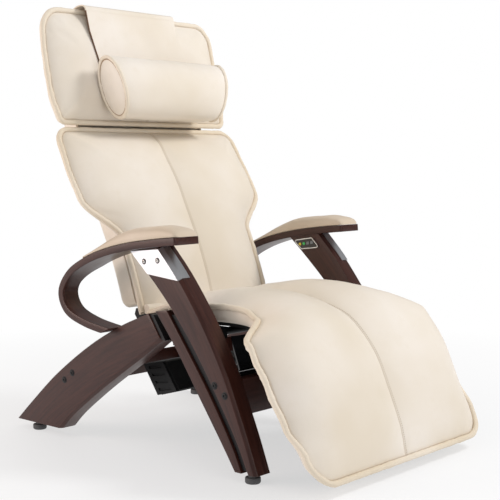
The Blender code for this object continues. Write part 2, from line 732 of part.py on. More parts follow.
def head_pad(pivot, leather):
    """Head pad above the back pad, with large corners at the top."""
    line = curve_through(HEAD_SEAM, 6)
    length = line_length(line)
    stations = [0.0, 0.01, 0.025, 0.05, 0.09, 0.15, 0.25, 0.4, 0.55, 0.7, 0.80, 0.86, 0.91, 0.95, 0.975,
                0.99, 1.0]
    sections = []
    for s in stations:
        point, tangent = resample(line, [s])[0]
        half = ramp(s, HEAD_WIDTH)
        half -= corner_share((1.0 - s) * length, HEAD_TOP_CORNER) + corner_share(s * length, HEAD_LOW_CORNER)
        sections.append(crowned_loop(point, upright_normal(tangent), half, ramp(s, HEAD_EDGE_DEPTH),
                                     HEAD_THICKNESS))
    bm = bmesh.new()
    loft(bm, sections)
    piece("head_pad", bm, leather, pivot=pivot)


def back_shell(pivot, leather):
    """Upholstered tray behind the pads; its hollow holds the massage mechanism."""
    line = curve_through(BACK_SEAM + HEAD_SEAM[1:4], 6)
    line = [p for p in line if p.y > 0.3859]
    stations = [0.0, 0.012, 0.0125] + [k / 16 for k in range(1, 16)] + [0.9875, 0.988, 1.0]
    sections = []
    for s in stations:
        point, tangent = resample(line, [s])[0]
        normal = upright_normal(tangent)
        closed = s <= 0.0121 or s >= 0.9879
        floor = SHELL_FRONT_DEPTH + 0.0012 if closed else SHELL_REAR_DEPTH - SHELL_WALL
        half = SHELL_HALF_WIDTH
        rows = [(half, SHELL_FRONT_DEPTH), (half, SHELL_REAR_DEPTH - 0.012), (half - 0.012, SHELL_REAR_DEPTH),
                (-half + 0.012, SHELL_REAR_DEPTH), (-half, SHELL_REAR_DEPTH - 0.012), (-half, SHELL_FRONT_DEPTH),
                (-half + SHELL_WALL, SHELL_FRONT_DEPTH), (-half + SHELL_WALL, floor),
                (half - SHELL_WALL, floor), (half - SHELL_WALL, SHELL_FRONT_DEPTH)]
        loop = []
        for x, depth in rows:
            place = point - normal * depth
            loop.append((x, place.x, place.y))
        sections.append(loop)
    bm = bmesh.new()
    loft(bm, sections)
    piece("back_shell", bm, leather, pivot=pivot)


def hinge_pin(steel):
    """Back hinge pin, welded to two lugs under the back shell."""
    y, z = BACK_PIVOT
    bm = bmesh.new()
    cylinder(bm, (-0.232, y, z), (0.232, y, z), PIN_RADIUS, 20)
    pin = piece("back_hinge_pin", bm, steel, pivot=(0.0, y, z))
    outline = [(y - 0.012, z - 0.012), (y + 0.012, z - 0.012), (y + 0.030, 0.3455),
               (y + 0.0245, 0.3615), (y - 0.012, 0.352)]
    for side, sign in side_names():
        lug = bmesh.new()
        prism(lug, outline, sign * 0.230, sign * 0.238)
        join_with(pin, lug, "back_lug_" + side)


def head_strap(pivot, leather):
    """Part of the pillow strap that lies over the head pad's top and hangs behind it."""
    half = STRAP_HALF_WIDTH
    line = [(0.531, 1.1815), (0.560, 1.1765), (0.584, 1.163), (0.593, 1.140), (0.592, 1.113)]
    bm = bmesh.new()
    prism(bm, offset_band(curve_through(line, 3), 0.003), -half, half)
    piece("head_strap", bm, leather, pivot=pivot)


# ------------------------------------------------------------------ massage mechanism
def rails(rail_frame, steel, black):
    """Two guide rails for the carriage, between end blocks fixed in the shell."""
    for side, sign in side_names():
        bm = bmesh.new()
        cylinder(bm, (sign * RAIL_X, RAIL_DEPTH, 0.012), (sign * RAIL_X, RAIL_DEPTH, 0.398), RAIL_RADIUS, 16)
        piece("carriage_rail_" + side, bm, steel, rail_frame)
    for name, low, high in (("rail_block_lower", -0.002, 0.012 - GAP), ("rail_block_upper", 0.398 + GAP, 0.412)):
        bm = bmesh.new()
        box(bm, (-0.170, RAIL_DEPTH - 0.010, low), (0.170, RAIL_DEPTH + 0.010, high))
        piece(name, bm, black, rail_frame)


def carriage(carriage_frame, steel, black):
    """Carriage plate with two ears for the roller shaft, and its drive motor and bushings."""
    bm = bmesh.new()
    box(bm, (-0.140, 0.077, -0.055), (0.140, 0.085, 0.002))
    plate = piece("massage_carriage", bm, steel, carriage_frame)
    for side, sign in side_names():
        ear = bmesh.new()
        prism(ear, [(0.0555, ROLLER_RISE - 0.010), (0.0765, ROLLER_RISE - 0.010), (0.0785, -0.030),
                    (0.0840, -0.030), (0.0840, ROLLER_RISE + 0.011), (0.0555, ROLLER_RISE + 0.011)],
              sign * 0.096, sign * 0.104)
        join_with(plate, ear, "carriage_ear_" + side)
        hole = bmesh.new()
        cylinder(hole, (sign * 0.09, ROLLER_DEPTH, ROLLER_RISE), (sign * 0.11, ROLLER_DEPTH, ROLLER_RISE),
                 0.0054, 16)
        cut(plate, hole, "carriage_hole_" + side)
        bush = bmesh.new()
        cylinder(bush, (sign * RAIL_X, RAIL_DEPTH, -0.055), (sign * RAIL_X, RAIL_DEPTH, 0.002), 0.0125, 20)
        join_with(plate, bush, "rail_bushing_" + side)
        bore = bmesh.new()
        cylinder(bore, (sign * RAIL_X, RAIL_DEPTH, -0.06), (sign * RAIL_X, RAIL_DEPTH, 0.01),
                 RAIL_RADIUS + GAP, 20)
        cut(plate, bore, "bushing_bore_" + side)
    bm = bmesh.new()
    box(bm, (-0.034, 0.054, -0.053), (0.034, 0.077 - GAP, -0.005))
    chamfer(bm, near_edges(bm, lambda co: co.y < 0.055), 0.004, 2)
    piece("massage_motor", bm, black, carriage_frame)


def rollers(roller_frame, steel, rubber):
    """Roller shaft with two rounded massage rollers, built around the shaft's own axis."""
    bm = bmesh.new()
    cylinder(bm, (-0.110, 0, 0), (0.110, 0, 0), 0.005, 16)
    piece("roller_shaft", bm, steel, roller_frame)
    for side, sign in side_names():
        bm = bmesh.new()
        rings = [(0.0052, 0.0), (0.0135, 0.0), (0.0165, 0.004), (ROLLER_RADIUS, 0.010),
                 (0.0165, 0.016), (0.0135, 0.020), (0.0052, 0.020)]
        loops = [[(sign * (0.052 + x), r * math.cos(k * math.tau / 24), r * math.sin(k * math.tau / 24))
                  for k in range(24)] for r, x in rings]
        loft(bm, loops + [loops[0]], closed_ends=False)
        bmesh.ops.remove_doubles(bm, verts=bm.verts[:], dist=1e-6)
        piece("massage_roller_" + side, bm, rubber, roller_frame)


# ------------------------------------------------------------------ linear actuator
def actuator(steel, black, chrome):
    """Housing that swings on the clevis, its motor, and the push rod with an eye."""
    rear = Vector((ACTUATOR_X, *ACTUATOR_REAR))
    eye = Vector((ACTUATOR_X, *LEVER_EYE))
    along = (eye - rear).normalized()
    lift = Vector((0.0, -along.z, along.y))
    if lift.z < 0:
        lift = -lift
    bm = bmesh.new()
    cylinder(bm, rear + along * 0.022, rear + along * 0.185, 0.019, 24)
    housing = piece("actuator_housing", bm, black, pivot=rear)
    tongue = bmesh.new()
    cylinder(tongue, rear - Vector((0.012, 0, 0)), rear + Vector((0.012, 0, 0)), 0.013, 20)
    join_with(housing, tongue, "housing_eye")
    neck = bmesh.new()
    cylinder(neck, rear + along * 0.006, rear + along * 0.030, 0.010, 16)
    join_with(housing, neck, "housing_neck")
    bore = bmesh.new()
    cylinder(bore, rear - Vector((0.03, 0, 0)), rear + Vector((0.03, 0, 0)), 0.0056, 16)
    cut(housing, bore, "housing_bore")
    barrel = bmesh.new()
    cylinder(barrel, rear + along * 0.085, rear + along * 0.20, 0.0096, 20)
    cut(housing, barrel, "housing_barrel")
    bm = bmesh.new()
    below = rear - lift * 0.0415
    cylinder(bm, below + along * 0.035, below + along * 0.125, 0.022, 24)
    piece("actuator_motor", bm, steel, pivot=rear)
    bm = bmesh.new()
    span = (eye - rear).length
    cylinder(bm, rear + along * 0.120, rear + along * (span - 0.008), 0.0092, 20)
    rod = piece("push_rod", bm, chrome, pivot=eye)
    ring = bmesh.new()
    cylinder(ring, eye - Vector((0.0085, 0, 0)), eye + Vector((0.0085, 0, 0)), 0.0125, 20)
    join_with(rod, ring, "rod_eye")
    hole = bmesh.new()
    cylinder(hole, eye - Vector((0.03, 0, 0)), eye + Vector((0.03, 0, 0)), 0.0072, 20)
    cut(rod, hole, "rod_eye_hole")


# ------------------------------------------------------------------ pillow
def pillow(pivot, leather, lining):
    """Bolster pillow and the flap that it hangs from."""
    middle = Vector(PILLOW_MIDDLE)
    half = 0.200
    bm = bmesh.new()
    sections = []
    for share in (-1.0, -0.985, -0.8, -0.4, 0.0, 0.4, 0.8, 0.985, 1.0):
        size = 0.97 if abs(share) > 0.99 else 1.0
        loop = []
        for k in range(28):
            angle = k * math.tau / 28
            out, up = 0.060 * size * math.cos(angle), 0.085 * size * math.sin(angle)
            loop.append((PILLOW_X + half * share, middle.x + out + 0.10 * up, middle.y + up))
        sections.append(loop)
    loft(bm, sections)
    piece("pillow", bm, leather, pivot=pivot)
    line = [(0.5185, 1.1695), (0.5075, 1.115), (0.4900, 1.040), (0.4780, 0.985)]
    bm = bmesh.new()
    prism(bm, offset_band(curve_through(line, 3), 0.0028), -STRAP_HALF_WIDTH, STRAP_HALF_WIDTH)
    piece("pillow_flap", bm, lining, pivot=pivot)


# ------------------------------------------------------------------ the whole chair
def build():
    """Make every piece, from the floor up."""
    global CHAIR
    clear_scene()
    CHAIR = bpy.data.objects.new("chair_frame", None)
    bpy.context.scene.collection.objects.link(CHAIR)
    CHAIR.location = (0.0, ARM_FRONT_Y, 0.0)

    wood = finish("dark_wood", (0.075, 0.030, 0.020), 0.32)
    leather = finish("cream_leather", (0.86, 0.76, 0.62), 0.45)
    lining = finish("strap_leather", (0.84, 0.74, 0.60), 0.50)
    aluminium = finish("brushed_aluminium", (0.78, 0.79, 0.81), 0.28, 1.0)
    steel = finish("black_steel", (0.035, 0.035, 0.038), 0.42, 0.6)
    chrome = finish("polished_steel", (0.70, 0.70, 0.72), 0.15, 1.0)
    black = finish("black_plastic", (0.020, 0.020, 0.022), 0.48)
    gloss = finish("gloss_black", (0.010, 0.010, 0.012), 0.12)
    rubber = finish("grey_rubber", (0.09, 0.09, 0.09), 0.70)
    yellow = finish("yellow_key", (0.90, 0.78, 0.15), 0.35)
    green = finish("green_key", (0.12, 0.62, 0.18), 0.35)
    grey = finish("grey_key", (0.30, 0.32, 0.33), 0.40)

    for side, sign in side_names():
        rear_leg(side, sign, wood)
        front_slat(side, sign, wood)
        front_post(side, sign, wood)
        slat_spacer(side, sign, black)
        armrest(side, sign, wood)
        armrest_pad(side, sign, leather)
        post_bracket(side, sign, aluminium)
        glides(side, sign, rubber)
    stretchers(wood)
    tilt_bearings(steel)
    power_box(black, grey)
    actuator_clevis(steel)
    control_panel(aluminium, black, (("power_button", yellow, "round"), ("massage_button", green, "round"),
                                     ("recline_up_key", grey, "square"),
                                     ("recline_down_key", grey, "square")))

    seat_axis = (0.0, *SEAT_PIVOT)
    back_axis = (0.0, *BACK_PIVOT)
    seat_board(seat_axis, black)
    seat_pad(seat_axis, leather)
    tilt_shaft(seat_axis, steel)
    shaft_saddles(seat_axis, steel)
    actuator_lever(seat_axis, steel)
    hinge_brackets(steel)
    shroud(seat_axis, gloss)

    back_shell(back_axis, leather)
    back_pad(back_axis, leather)
    head_pad(back_axis, leather)
    hinge_pin(steel)
    head_strap(back_axis, lining)

    rail_frame = empty("rail_frame", (0.0, *RAIL_BASE), CHAIR, RAIL_TILT)
    rails(rail_frame, steel, black)
    carriage_frame = empty("carriage_frame", (0.0, 0.0, CARRIAGE_REST), rail_frame)
    carriage(carriage_frame, steel, black)
    roller_frame = empty("roller_frame", (0.0, ROLLER_DEPTH, ROLLER_RISE), carriage_frame)
    rollers(roller_frame, steel, rubber)

    actuator(steel, black, chrome)
    pillow((0.0, *HEAD_TOP), leather, lining)


build()
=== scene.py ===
"""Looks of a reclining massage chair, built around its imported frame.

Outlines are lists of (y, z) points in metres, with y measured from the front end of the armrests, as in
the chair's CAD.  Every mesh is shifted along Y by SHIFT when it is made, so that it lies on the frame.
"""
import math

import bmesh
import bpy
import numpy as np
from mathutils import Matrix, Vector, noise


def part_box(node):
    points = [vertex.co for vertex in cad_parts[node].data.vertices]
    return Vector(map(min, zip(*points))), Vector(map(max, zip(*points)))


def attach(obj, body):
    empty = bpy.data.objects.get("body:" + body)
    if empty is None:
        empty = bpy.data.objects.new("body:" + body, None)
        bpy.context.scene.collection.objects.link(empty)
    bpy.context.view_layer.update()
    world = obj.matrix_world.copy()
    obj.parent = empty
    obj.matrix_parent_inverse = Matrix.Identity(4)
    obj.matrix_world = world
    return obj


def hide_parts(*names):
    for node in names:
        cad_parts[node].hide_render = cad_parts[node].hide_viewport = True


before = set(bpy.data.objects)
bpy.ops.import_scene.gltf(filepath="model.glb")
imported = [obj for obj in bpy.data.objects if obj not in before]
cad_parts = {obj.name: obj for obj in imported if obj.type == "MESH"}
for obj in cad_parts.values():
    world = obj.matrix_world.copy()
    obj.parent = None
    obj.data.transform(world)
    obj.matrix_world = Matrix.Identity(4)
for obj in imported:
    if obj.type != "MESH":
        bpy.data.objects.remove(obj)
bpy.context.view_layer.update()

SEAT_PIVOT_Y = 0.030
SHIFT = (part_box("tilt_shaft")[0].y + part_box("tilt_shaft")[1].y) / 2 - SEAT_PIVOT_Y
SIDES = (("r", -1.0), ("l", 1.0))

# ------------------------------------------------------------------ dimensions and outlines
LEG_OUTER_X = 0.340
LEG_INNER_X = 0.289
LEG_BOTTOM_Z = 0.024
LEG_CHAMFER = 0.008
ARM_INNER_X = 0.2865
ARM_INNER_REAR_X = 0.316
ARM_OUTER_X = 0.370
ARM_THICKNESS = 0.019
HEAD_TOP = (0.529, 1.174)
REAR_LEG_TOP = [(0.658, LEG_BOTTOM_Z), (0.594, 0.081), (0.485, 0.172), (0.354, 0.261),
                (0.233, 0.326), (0.111, 0.376)]
REAR_LEG_UNDER = [(0.067, 0.314), (0.135, 0.266), (0.224, 0.208), (0.319, 0.144),
                  (0.418, 0.071), (0.469, LEG_BOTTOM_Z)]
SLAT_BACK = [(0.094, 0.380), (0.024, 0.296), (-0.056, 0.185), (-0.130, 0.083), (-0.171, LEG_BOTTOM_Z)]
SLAT_FRONT = [(0.054, 0.386), (-0.003, 0.312), (-0.070, 0.224), (-0.125, 0.144),
              (-0.168, 0.074), (-0.192, LEG_BOTTOM_Z)]
POST_BACK = [(0.190, 0.534), (0.118, 0.470), (0.041, 0.395), (-0.039, 0.300), (-0.107, 0.204),
             (-0.172, 0.104), (-0.213, LEG_BOTTOM_Z)]
POST_FRONT = [(0.083, 0.547), (0.007, 0.467), (-0.076, 0.357), (-0.137, 0.256), (-0.176, 0.173),
              (-0.208, 0.100), (-0.238, LEG_BOTTOM_Z)]
ARM_LOOP = [(-0.008, 0.560), (0.060, 0.553), (0.160, 0.539), (0.250, 0.519), (0.330, 0.491),
            (0.392, 0.455), (0.425, 0.405), (0.401, 0.357), (0.330, 0.331), (0.240, 0.317),
            (0.190, 0.310)]
SEAT_SEAM = [(0.214, 0.377), (0.120, 0.389), (0.000, 0.399), (-0.115, 0.400), (-0.200, 0.386),
             (-0.267, 0.355), (-0.332, 0.286), (-0.376, 0.197), (-0.417, 0.095), (-0.437, 0.030)]
BACK_SEAM = [(0.221, 0.386), (0.241, 0.449), (0.275, 0.535), (0.316, 0.620), (0.355, 0.696),
             (0.401, 0.767), (0.446, 0.838)]
HEAD_SEAM = [(0.456, 0.853), (0.478, 0.950), (0.499, 1.040), (0.517, 1.115), HEAD_TOP]
SEAT_WIDTH = [(0.0, 0.258), (0.40, 0.260), (0.455, 0.275), (0.54, 0.369), (0.72, 0.369), (0.82, 0.367),
              (0.91, 0.358), (1.0, 0.346)]
SEAT_EDGE = [(0.0, 0.004), (0.36, 0.004), (0.47, 0.013), (0.545, 0.034), (0.62, 0.052),
             (0.72, 0.056), (0.82, 0.045), (0.91, 0.020), (1.0, 0.004)]
SEAT_DEPTH = [(0.0, 0.046), (0.42, 0.046), (0.62, 0.066), (0.85, 0.066), (1.0, 0.048)]
SEAT_PUFF = [(0.0, 0.004), (0.12, 0.020), (0.28, 0.030), (0.50, 0.029), (0.68, 0.013), (1.0, 0.004)]
BACK_WIDTH = [(0.0, 0.254), (0.36, 0.254), (0.60, 0.352), (0.72, 0.354), (1.0, 0.346)]
BACK_EDGE = [(0.0, 0.026), (0.4, 0.028), (0.7, 0.034), (1.0, 0.028)]
HEAD_WIDTH = [(0.0, 0.322), (0.25, 0.338), (0.6, 0.336), (1.0, 0.328)]
HEAD_EDGE = [(0.0, 0.022), (0.5, 0.030), (1.0, 0.022)]
SHELL_FRONT_DEPTH = 0.049
SHELL_REAR_DEPTH = 0.112
SHELL_HALF_WIDTH = 0.246
WELT = 0.0074
WELT_START = -0.005  # where the welt of a pad with an open start begins and ends
COVER_PITCH = 0.0085
COVER_PRESSURE = 3.0
COVER_HALF = 0.33  # half width of the flat grid that covers are laid out on
GROOVE_HALF = 0.011  # half width of the band of close columns along a cover's middle seam
SWELL_LIMIT = 0.012
UNSEAMED = 0.05  # stored distance, in metres, at which no painted shade of welt or seam shows
SPACER_GAP = 0.009
ARM_PAD_SPANS = 4  # spans of the armrest's outline that its leather pad covers
STRAP_WIDTH = 0.340
STRAP_THICKNESS = 0.0026
STRAP_OVER_HEAD = [(0.5160, 1.1640), (0.5176, 1.1702), (0.5218, 1.1756), (0.531, 1.1790), (0.545, 1.1785),
                   (0.560, 1.1745), (0.583, 1.161), (0.592, 1.140), (0.5915, 1.113)]
FLAP_LINE = [(0.5270, 1.1762), (0.5215, 1.1745), (0.5180, 1.1690), (0.5035, 1.115), (0.4850, 1.040),
             (0.4725, 1.002), (0.4682, 0.980), (0.4672, 0.958)]
PILLOW_HALF_LENGTH = 0.200
PILLOW_MIDDLE = (0.010, 0.410, 0.949)
PILLOW_HALF_DEPTH = 0.060
PILLOW_HALF_HEIGHT = 0.085

# ------------------------------------------------------------------ studio
CAMERA_PLACE = (-2.2525, -1.9148 + SHIFT, 0.7619)
CAMERA_TURN = (math.radians(90 - 4.745), 0, math.radians(-48.444))
CAMERA_LENS = 81.06
LIGHTS = (  # name, size, power, place, target, colour
    ("key", 1.0, 84, (1.7, -2.0, 3.2), (0, 0.1, 0.5), (1.0, 1.0, 1.0)),
    ("side", 1.8, 44, (-2.6, 1.9, 1.3), (0, 0.2, 0.4), (1.0, 0.83, 0.76)),
    ("front", 1.6, 13, (-1.2, -3.4, 1.6), (0, 0.1, 0.6), (1.0, 1.0, 1.0)))
STUDIO_FILL = 0.55
STUDIO_REFLECTION = 0.30


# ------------------------------------------------------------------ curves
def curve_through(points, per_span=10):
    """Smooth points through the given ones, as an open Catmull-Rom curve."""
    pts = np.array(points, float)
    pts = np.vstack([2 * pts[0] - pts[1], pts, 2 * pts[-1] - pts[-2]])
    out = []
    for i in range(1, len(pts) - 2):
        a, b, c, d = pts[i - 1:i + 3]
        for step in range(per_span):
            t = step / per_span
            out.append(0.5 * (2 * b + (c - a) * t + (2 * a - 5 * b + 4 * c - d) * t * t
                              + (3 * b - 3 * c + d - a) * t ** 3))
    out.append(pts[-2])
    return np.array(out)


def lengths(points):
    """Distance along a polyline at each of its points."""
    return np.concatenate([[0.0], np.cumsum(np.linalg.norm(np.diff(points, axis=0), axis=1))])


def along(points, places):
    """Points of a polyline at the given distances from its start, carried straight on past its ends."""
    arc = lengths(points)
    places = np.asarray(places, float)
    out = np.stack([np.interp(places, arc, points[:, k]) for k in range(points.shape[1])], -1)
    low = np.minimum(places, 0.0)[..., None]
    high = np.maximum(places - arc[-1], 0.0)[..., None]
    start = (points[1] - points[0]) / (arc[1] - arc[0])
    end = (points[-1] - points[-2]) / (arc[-1] - arc[-2])
    return out + low * start + high * end


def graded(ends, length, margin, count):
    """Places from 0 to length: the given ones at each end, and evenly spaced ones between the margins."""
    ends = np.array(ends)
    return np.concatenate([ends, np.linspace(margin, length - margin, count), length - ends[::-1]])


def left_normals(line):
    """Unit normals on the left of an open line."""
    step = np.gradient(line, axis=0)
    step /= np.linalg.norm(step, axis=1)[:, None]
    return np.stack([-step[:, 1], step[:, 0]], -1)


def ring_normals(ring):
    """Unit normals on the right of a closed ring."""
    step = np.roll(ring, -1, axis=0) - np.roll(ring, 1, axis=0)
    normal = np.stack([step[:, 1], -step[:, 0]], -1)
    return normal / (np.linalg.norm(normal, axis=1)[:, None] + 1e-12)


def ramp(value, knots):
    """Smoothly stepped function through (position, value) knots."""
    value = np.asarray(value, float)
    out = np.full(value.shape, knots[0][1], float)
    for (p0, v0), (p1, v1) in zip(knots, knots[1:]):
        t = np.clip((value - p0) / (p1 - p0), 0, 1)
        out = np.where(value > p0, v0 + (v1 - v0) * t * t * (3 - 2 * t), out)
    return out


def corner_share(distance, radius):
    """How far an edge has drawn in, near an end with rounded corners."""
    left = np.clip(radius - distance, 0, radius)
    return radius - np.sqrt(np.maximum(radius ** 2 - left ** 2, 0.0))


def rounded(corners, radii, steps=3):
    """Closed outline with every corner rounded."""
    out = []
    count = len(corners)
    for i in range(count):
        here = np.array(corners[i], float)
        into = np.array(corners[i - 1]) - here
        away = np.array(corners[(i + 1) % count]) - here
        reach = min(radii[i], 0.45 * np.linalg.norm(into), 0.45 * np.linalg.norm(away))
        start = here + into / np.linalg.norm(into) * reach
        end = here + away / np.linalg.norm(away) * reach
        for k in range(steps + 1):
            t = k / steps
            out.append(start * (1 - t) ** 2 + here * 2 * t * (1 - t) + end * t * t)
    return np.array(out)


def wobble(x, y, z):
    """Smooth noise between -1 and 1 at one place."""
    return noise.noise(Vector((x, y, z)))


# ------------------------------------------------------------------ materials
def new_material(name, colour, roughness, metallic=0.0, **extra):
    """Principled material; returns it with its shader, its nodes and its links."""
    material = bpy.data.materials.new(name)
    material.use_nodes = True
    tree = material.node_tree
    shader = tree.nodes["Principled BSDF"]
    shader.inputs["Base Color"].default_value = (*colour, 1.0)
    shader.inputs["Roughness"].default_value = roughness
    shader.inputs["Metallic"].default_value = metallic
    for key, value in extra.items():
        shader.inputs[key.replace("_", " ")].default_value = value
    return material, shader, tree.nodes, tree.links


def coordinates(nodes, links, scale, attribute=None):
    """Texture coordinates in metres times scale, from the object or from a stored vector."""
    mapping = nodes.new("ShaderNodeMapping")
    mapping.inputs["Scale"].default_value = scale
    if attribute:
        source = nodes.new("ShaderNodeAttribute")
        source.attribute_name = attribute
        links.new(source.outputs["Vector"], mapping.inputs["Vector"])
    else:
        source = nodes.new("ShaderNodeTexCoord")
        links.new(source.outputs["Object"], mapping.inputs["Vector"])
    return mapping.outputs["Vector"]


def noise_field(nodes, links, where, scale, detail=3.0, rough=0.5):
    """Noise texture's value."""
    field = nodes.new("ShaderNodeTexNoise")
    field.inputs["Scale"].default_value = scale
    field.inputs["Detail"].default_value = detail
    field.inputs["Roughness"].default_value = rough
    links.new(where, field.inputs["Vector"])
    return field.outputs["Fac"]


def remap(nodes, links, value, low, high, out_low=0.0, out_high=1.0):
    """Clamped linear map of a value."""
    node = nodes.new("ShaderNodeMapRange")
    for key, number in (("From Min", low), ("From Max", high), ("To Min", out_low), ("To Max", out_high)):
        node.inputs[key].default_value = number
    links.new(value, node.inputs["Value"])
    return node.outputs["Result"]


def mixed(nodes, links, share, first, second):
    """Colour between two, each a colour or a socket."""
    node = nodes.new("ShaderNodeMix")
    node.data_type = "RGBA"
    links.new(share, node.inputs["Factor"])
    for key, value in (("A", first), ("B", second)):
        socket = [s for s in node.inputs if s.name == key and s.type == "RGBA"][0]
        if isinstance(value, tuple):
            socket.default_value = (*value, 1.0)
        else:
            links.new(value, socket)
    return [s for s in node.outputs if s.type == "RGBA"][0]


def combine(nodes, links, operation, first, second):
    """Math node on two sockets or numbers."""
    node = nodes.new("ShaderNodeMath")
    node.operation = operation
    for index, value in enumerate((first, second)):
        if isinstance(value, (int, float)):
            node.inputs[index].default_value = value
        else:
            links.new(value, node.inputs[index])
    return node.outputs["Value"]


def bump(nodes, links, shader, height, strength, distance):
    """Bump from a height."""
    node = nodes.new("ShaderNodeBump")
    node.inputs["Strength"].default_value = strength
    node.inputs["Distance"].default_value = distance
    links.new(height, node.inputs["Height"])
    links.new(node.outputs["Normal"], shader.inputs["Normal"])


def attribute(nodes, name):
    """A stored number."""
    node = nodes.new("ShaderNodeAttribute")
    node.attribute_name = name
    return node.outputs["Fac"]


def times(colour, factors, cap=1.0):
    """Colour multiplied channel by channel."""
    return tuple(min(c * f, cap) for c, f in zip(colour, factors))


def leather(name, colour, welt_shade_and_stitches):
    """Pebbled leather with soft colour drift. Where the piece stores its distances, painted shade darkens it
    towards tan in the crease along the welt and in the groove of the middle seam, and a row of tan stitches
    runs beside the seam.
    """
    material, shader, nodes, links = new_material(name, colour, 0.46, Sheen_Weight=0.08,
                                                  Sheen_Roughness=0.6)
    where = coordinates(nodes, links, (1, 1, 1))
    drift = noise_field(nodes, links, where, 3.2, 3.0)
    blotch = noise_field(nodes, links, where, 26.0, 4.0, 0.6)
    warm = times(colour, (0.93, 0.89, 0.82))
    pale = times(colour, (1.05, 1.05, 1.07), 0.95)
    tint = mixed(nodes, links, remap(nodes, links, drift, 0.35, 0.68), warm, pale)
    tint = mixed(nodes, links, remap(nodes, links, blotch, 0.52, 0.80, 0.0, 0.35), tint, warm)
    cells = nodes.new("ShaderNodeTexVoronoi")
    cells.inputs["Scale"].default_value = 620.0
    links.new(where, cells.inputs["Vector"])
    fine = noise_field(nodes, links, where, 900.0, 2.0)
    height = combine(nodes, links, "ADD", cells.outputs["Distance"],
                     combine(nodes, links, "MULTIPLY", fine, 0.5))
    creases = noise_field(nodes, links, where, 55.0, 5.0, 0.62)
    height = combine(nodes, links, "ADD", height, combine(nodes, links, "MULTIPLY", creases, 2.2))
    if welt_shade_and_stitches:
        # Painted shade: tan in the crease along the welt and in the middle seam's groove; the stitch row
        # further down is thread.
        shade_and_stitch_tan = times(colour, (0.44, 0.33, 0.22))
        edge = remap(nodes, links, attribute(nodes, "edge"), 0.0010, 0.0085, 0.95, 0.0)
        seam = remap(nodes, links, attribute(nodes, "seam"), 0.0004, 0.0022, 0.50, 0.0)
        tint = mixed(nodes, links, combine(nodes, links, "MAXIMUM", edge, seam), tint, shade_and_stitch_tan)
        side = combine(nodes, links, "ABSOLUTE",
                       combine(nodes, links, "SUBTRACT", attribute(nodes, "seam"), 0.0042), 0.0)
        row = remap(nodes, links, side, 0.0004, 0.0011, 1.0, 0.0)
        wave = combine(nodes, links, "SINE",
                       combine(nodes, links, "MULTIPLY", attribute(nodes, "arc"), 1150.0), 0.0)
        stitch = combine(nodes, links, "MULTIPLY", row, remap(nodes, links, wave, -0.45, -0.15))
        tint = mixed(nodes, links, combine(nodes, links, "MULTIPLY", stitch, 0.55), tint, shade_and_stitch_tan)
        height = combine(nodes, links, "ADD", height, combine(nodes, links, "MULTIPLY", stitch, 1.6))
    links.new(tint, shader.inputs["Base Color"])
    links.new(remap(nodes, links, blotch, 0.3, 0.7, 0.40, 0.52), shader.inputs["Roughness"])
    bump(nodes, links, shader, height, 0.30, 0.00035)
    return material


def wood(name, dark, light, roughness):
    """Stained, lacquered beech whose grain runs along each piece."""
    material, shader, nodes, links = new_material(name, dark, roughness, Specular_IOR_Level=0.42)
    where = coordinates(nodes, links, (2.2, 30.0, 30.0), "grain")
    rings = noise_field(nodes, links, where, 4.0, 5.0, 0.62)
    pores = noise_field(nodes, links, coordinates(nodes, links, (30.0, 420.0, 420.0), "grain"), 3.0, 3.0)
    tint = mixed(nodes, links, remap(nodes, links, rings, 0.34, 0.66), dark, light)
    tint = mixed(nodes, links, remap(nodes, links, pores, 0.56, 0.72, 0.0, 0.5), tint,
                 times(dark, (0.5, 0.5, 0.5)))
    links.new(tint, shader.inputs["Base Color"])
    links.new(remap(nodes, links, rings, 0.3, 0.7, roughness - 0.04, roughness + 0.05),
              shader.inputs["Roughness"])
    bump(nodes, links, shader, combine(nodes, links, "ADD", rings, pores), 0.12, 0.0003)
    return material


def speckled(name, colour, roughness, metallic=0.0, grain=1400.0, depth=0.00012, stretch=(1, 1, 1), **extra):
    """Moulded plastic, painted or brushed metal, or rubber: fine bump and slightly uneven gloss."""
    material, shader, nodes, links = new_material(name, colour, roughness, metallic, **extra)
    where = coordinates(nodes, links, stretch)
    fine = noise_field(nodes, links, where, grain, 2.0)
    broad = noise_field(nodes, links, where, 18.0, 4.0)
    tint = mixed(nodes, links, remap(nodes, links, broad, 0.3, 0.7), times(colour, (0.86, 0.86, 0.86)),
                 times(colour, (1.12, 1.12, 1.12)))
    links.new(tint, shader.inputs["Base Color"])
    links.new(remap(nodes, links, broad, 0.3, 0.7, roughness * 0.88, roughness * 1.14),
              shader.inputs["Roughness"])
    bump(nodes, links, shader, fine, 0.25, depth)
    return material


CREAM = (0.775, 0.712, 0.628)
LEATHER = leather("cream_leather", CREAM, True)
PLAIN_LEATHER = leather("cream_leather_plain", CREAM, False)
PIPING = leather("cream_piping", (0.76, 0.675, 0.555), False)
# Dark tan for the thin ring inside each pillow end's piping: a painted shadow line.
PILLOW_SEAM_SHADE = leather("pillow_seam_shade", (0.36, 0.25, 0.16), False)
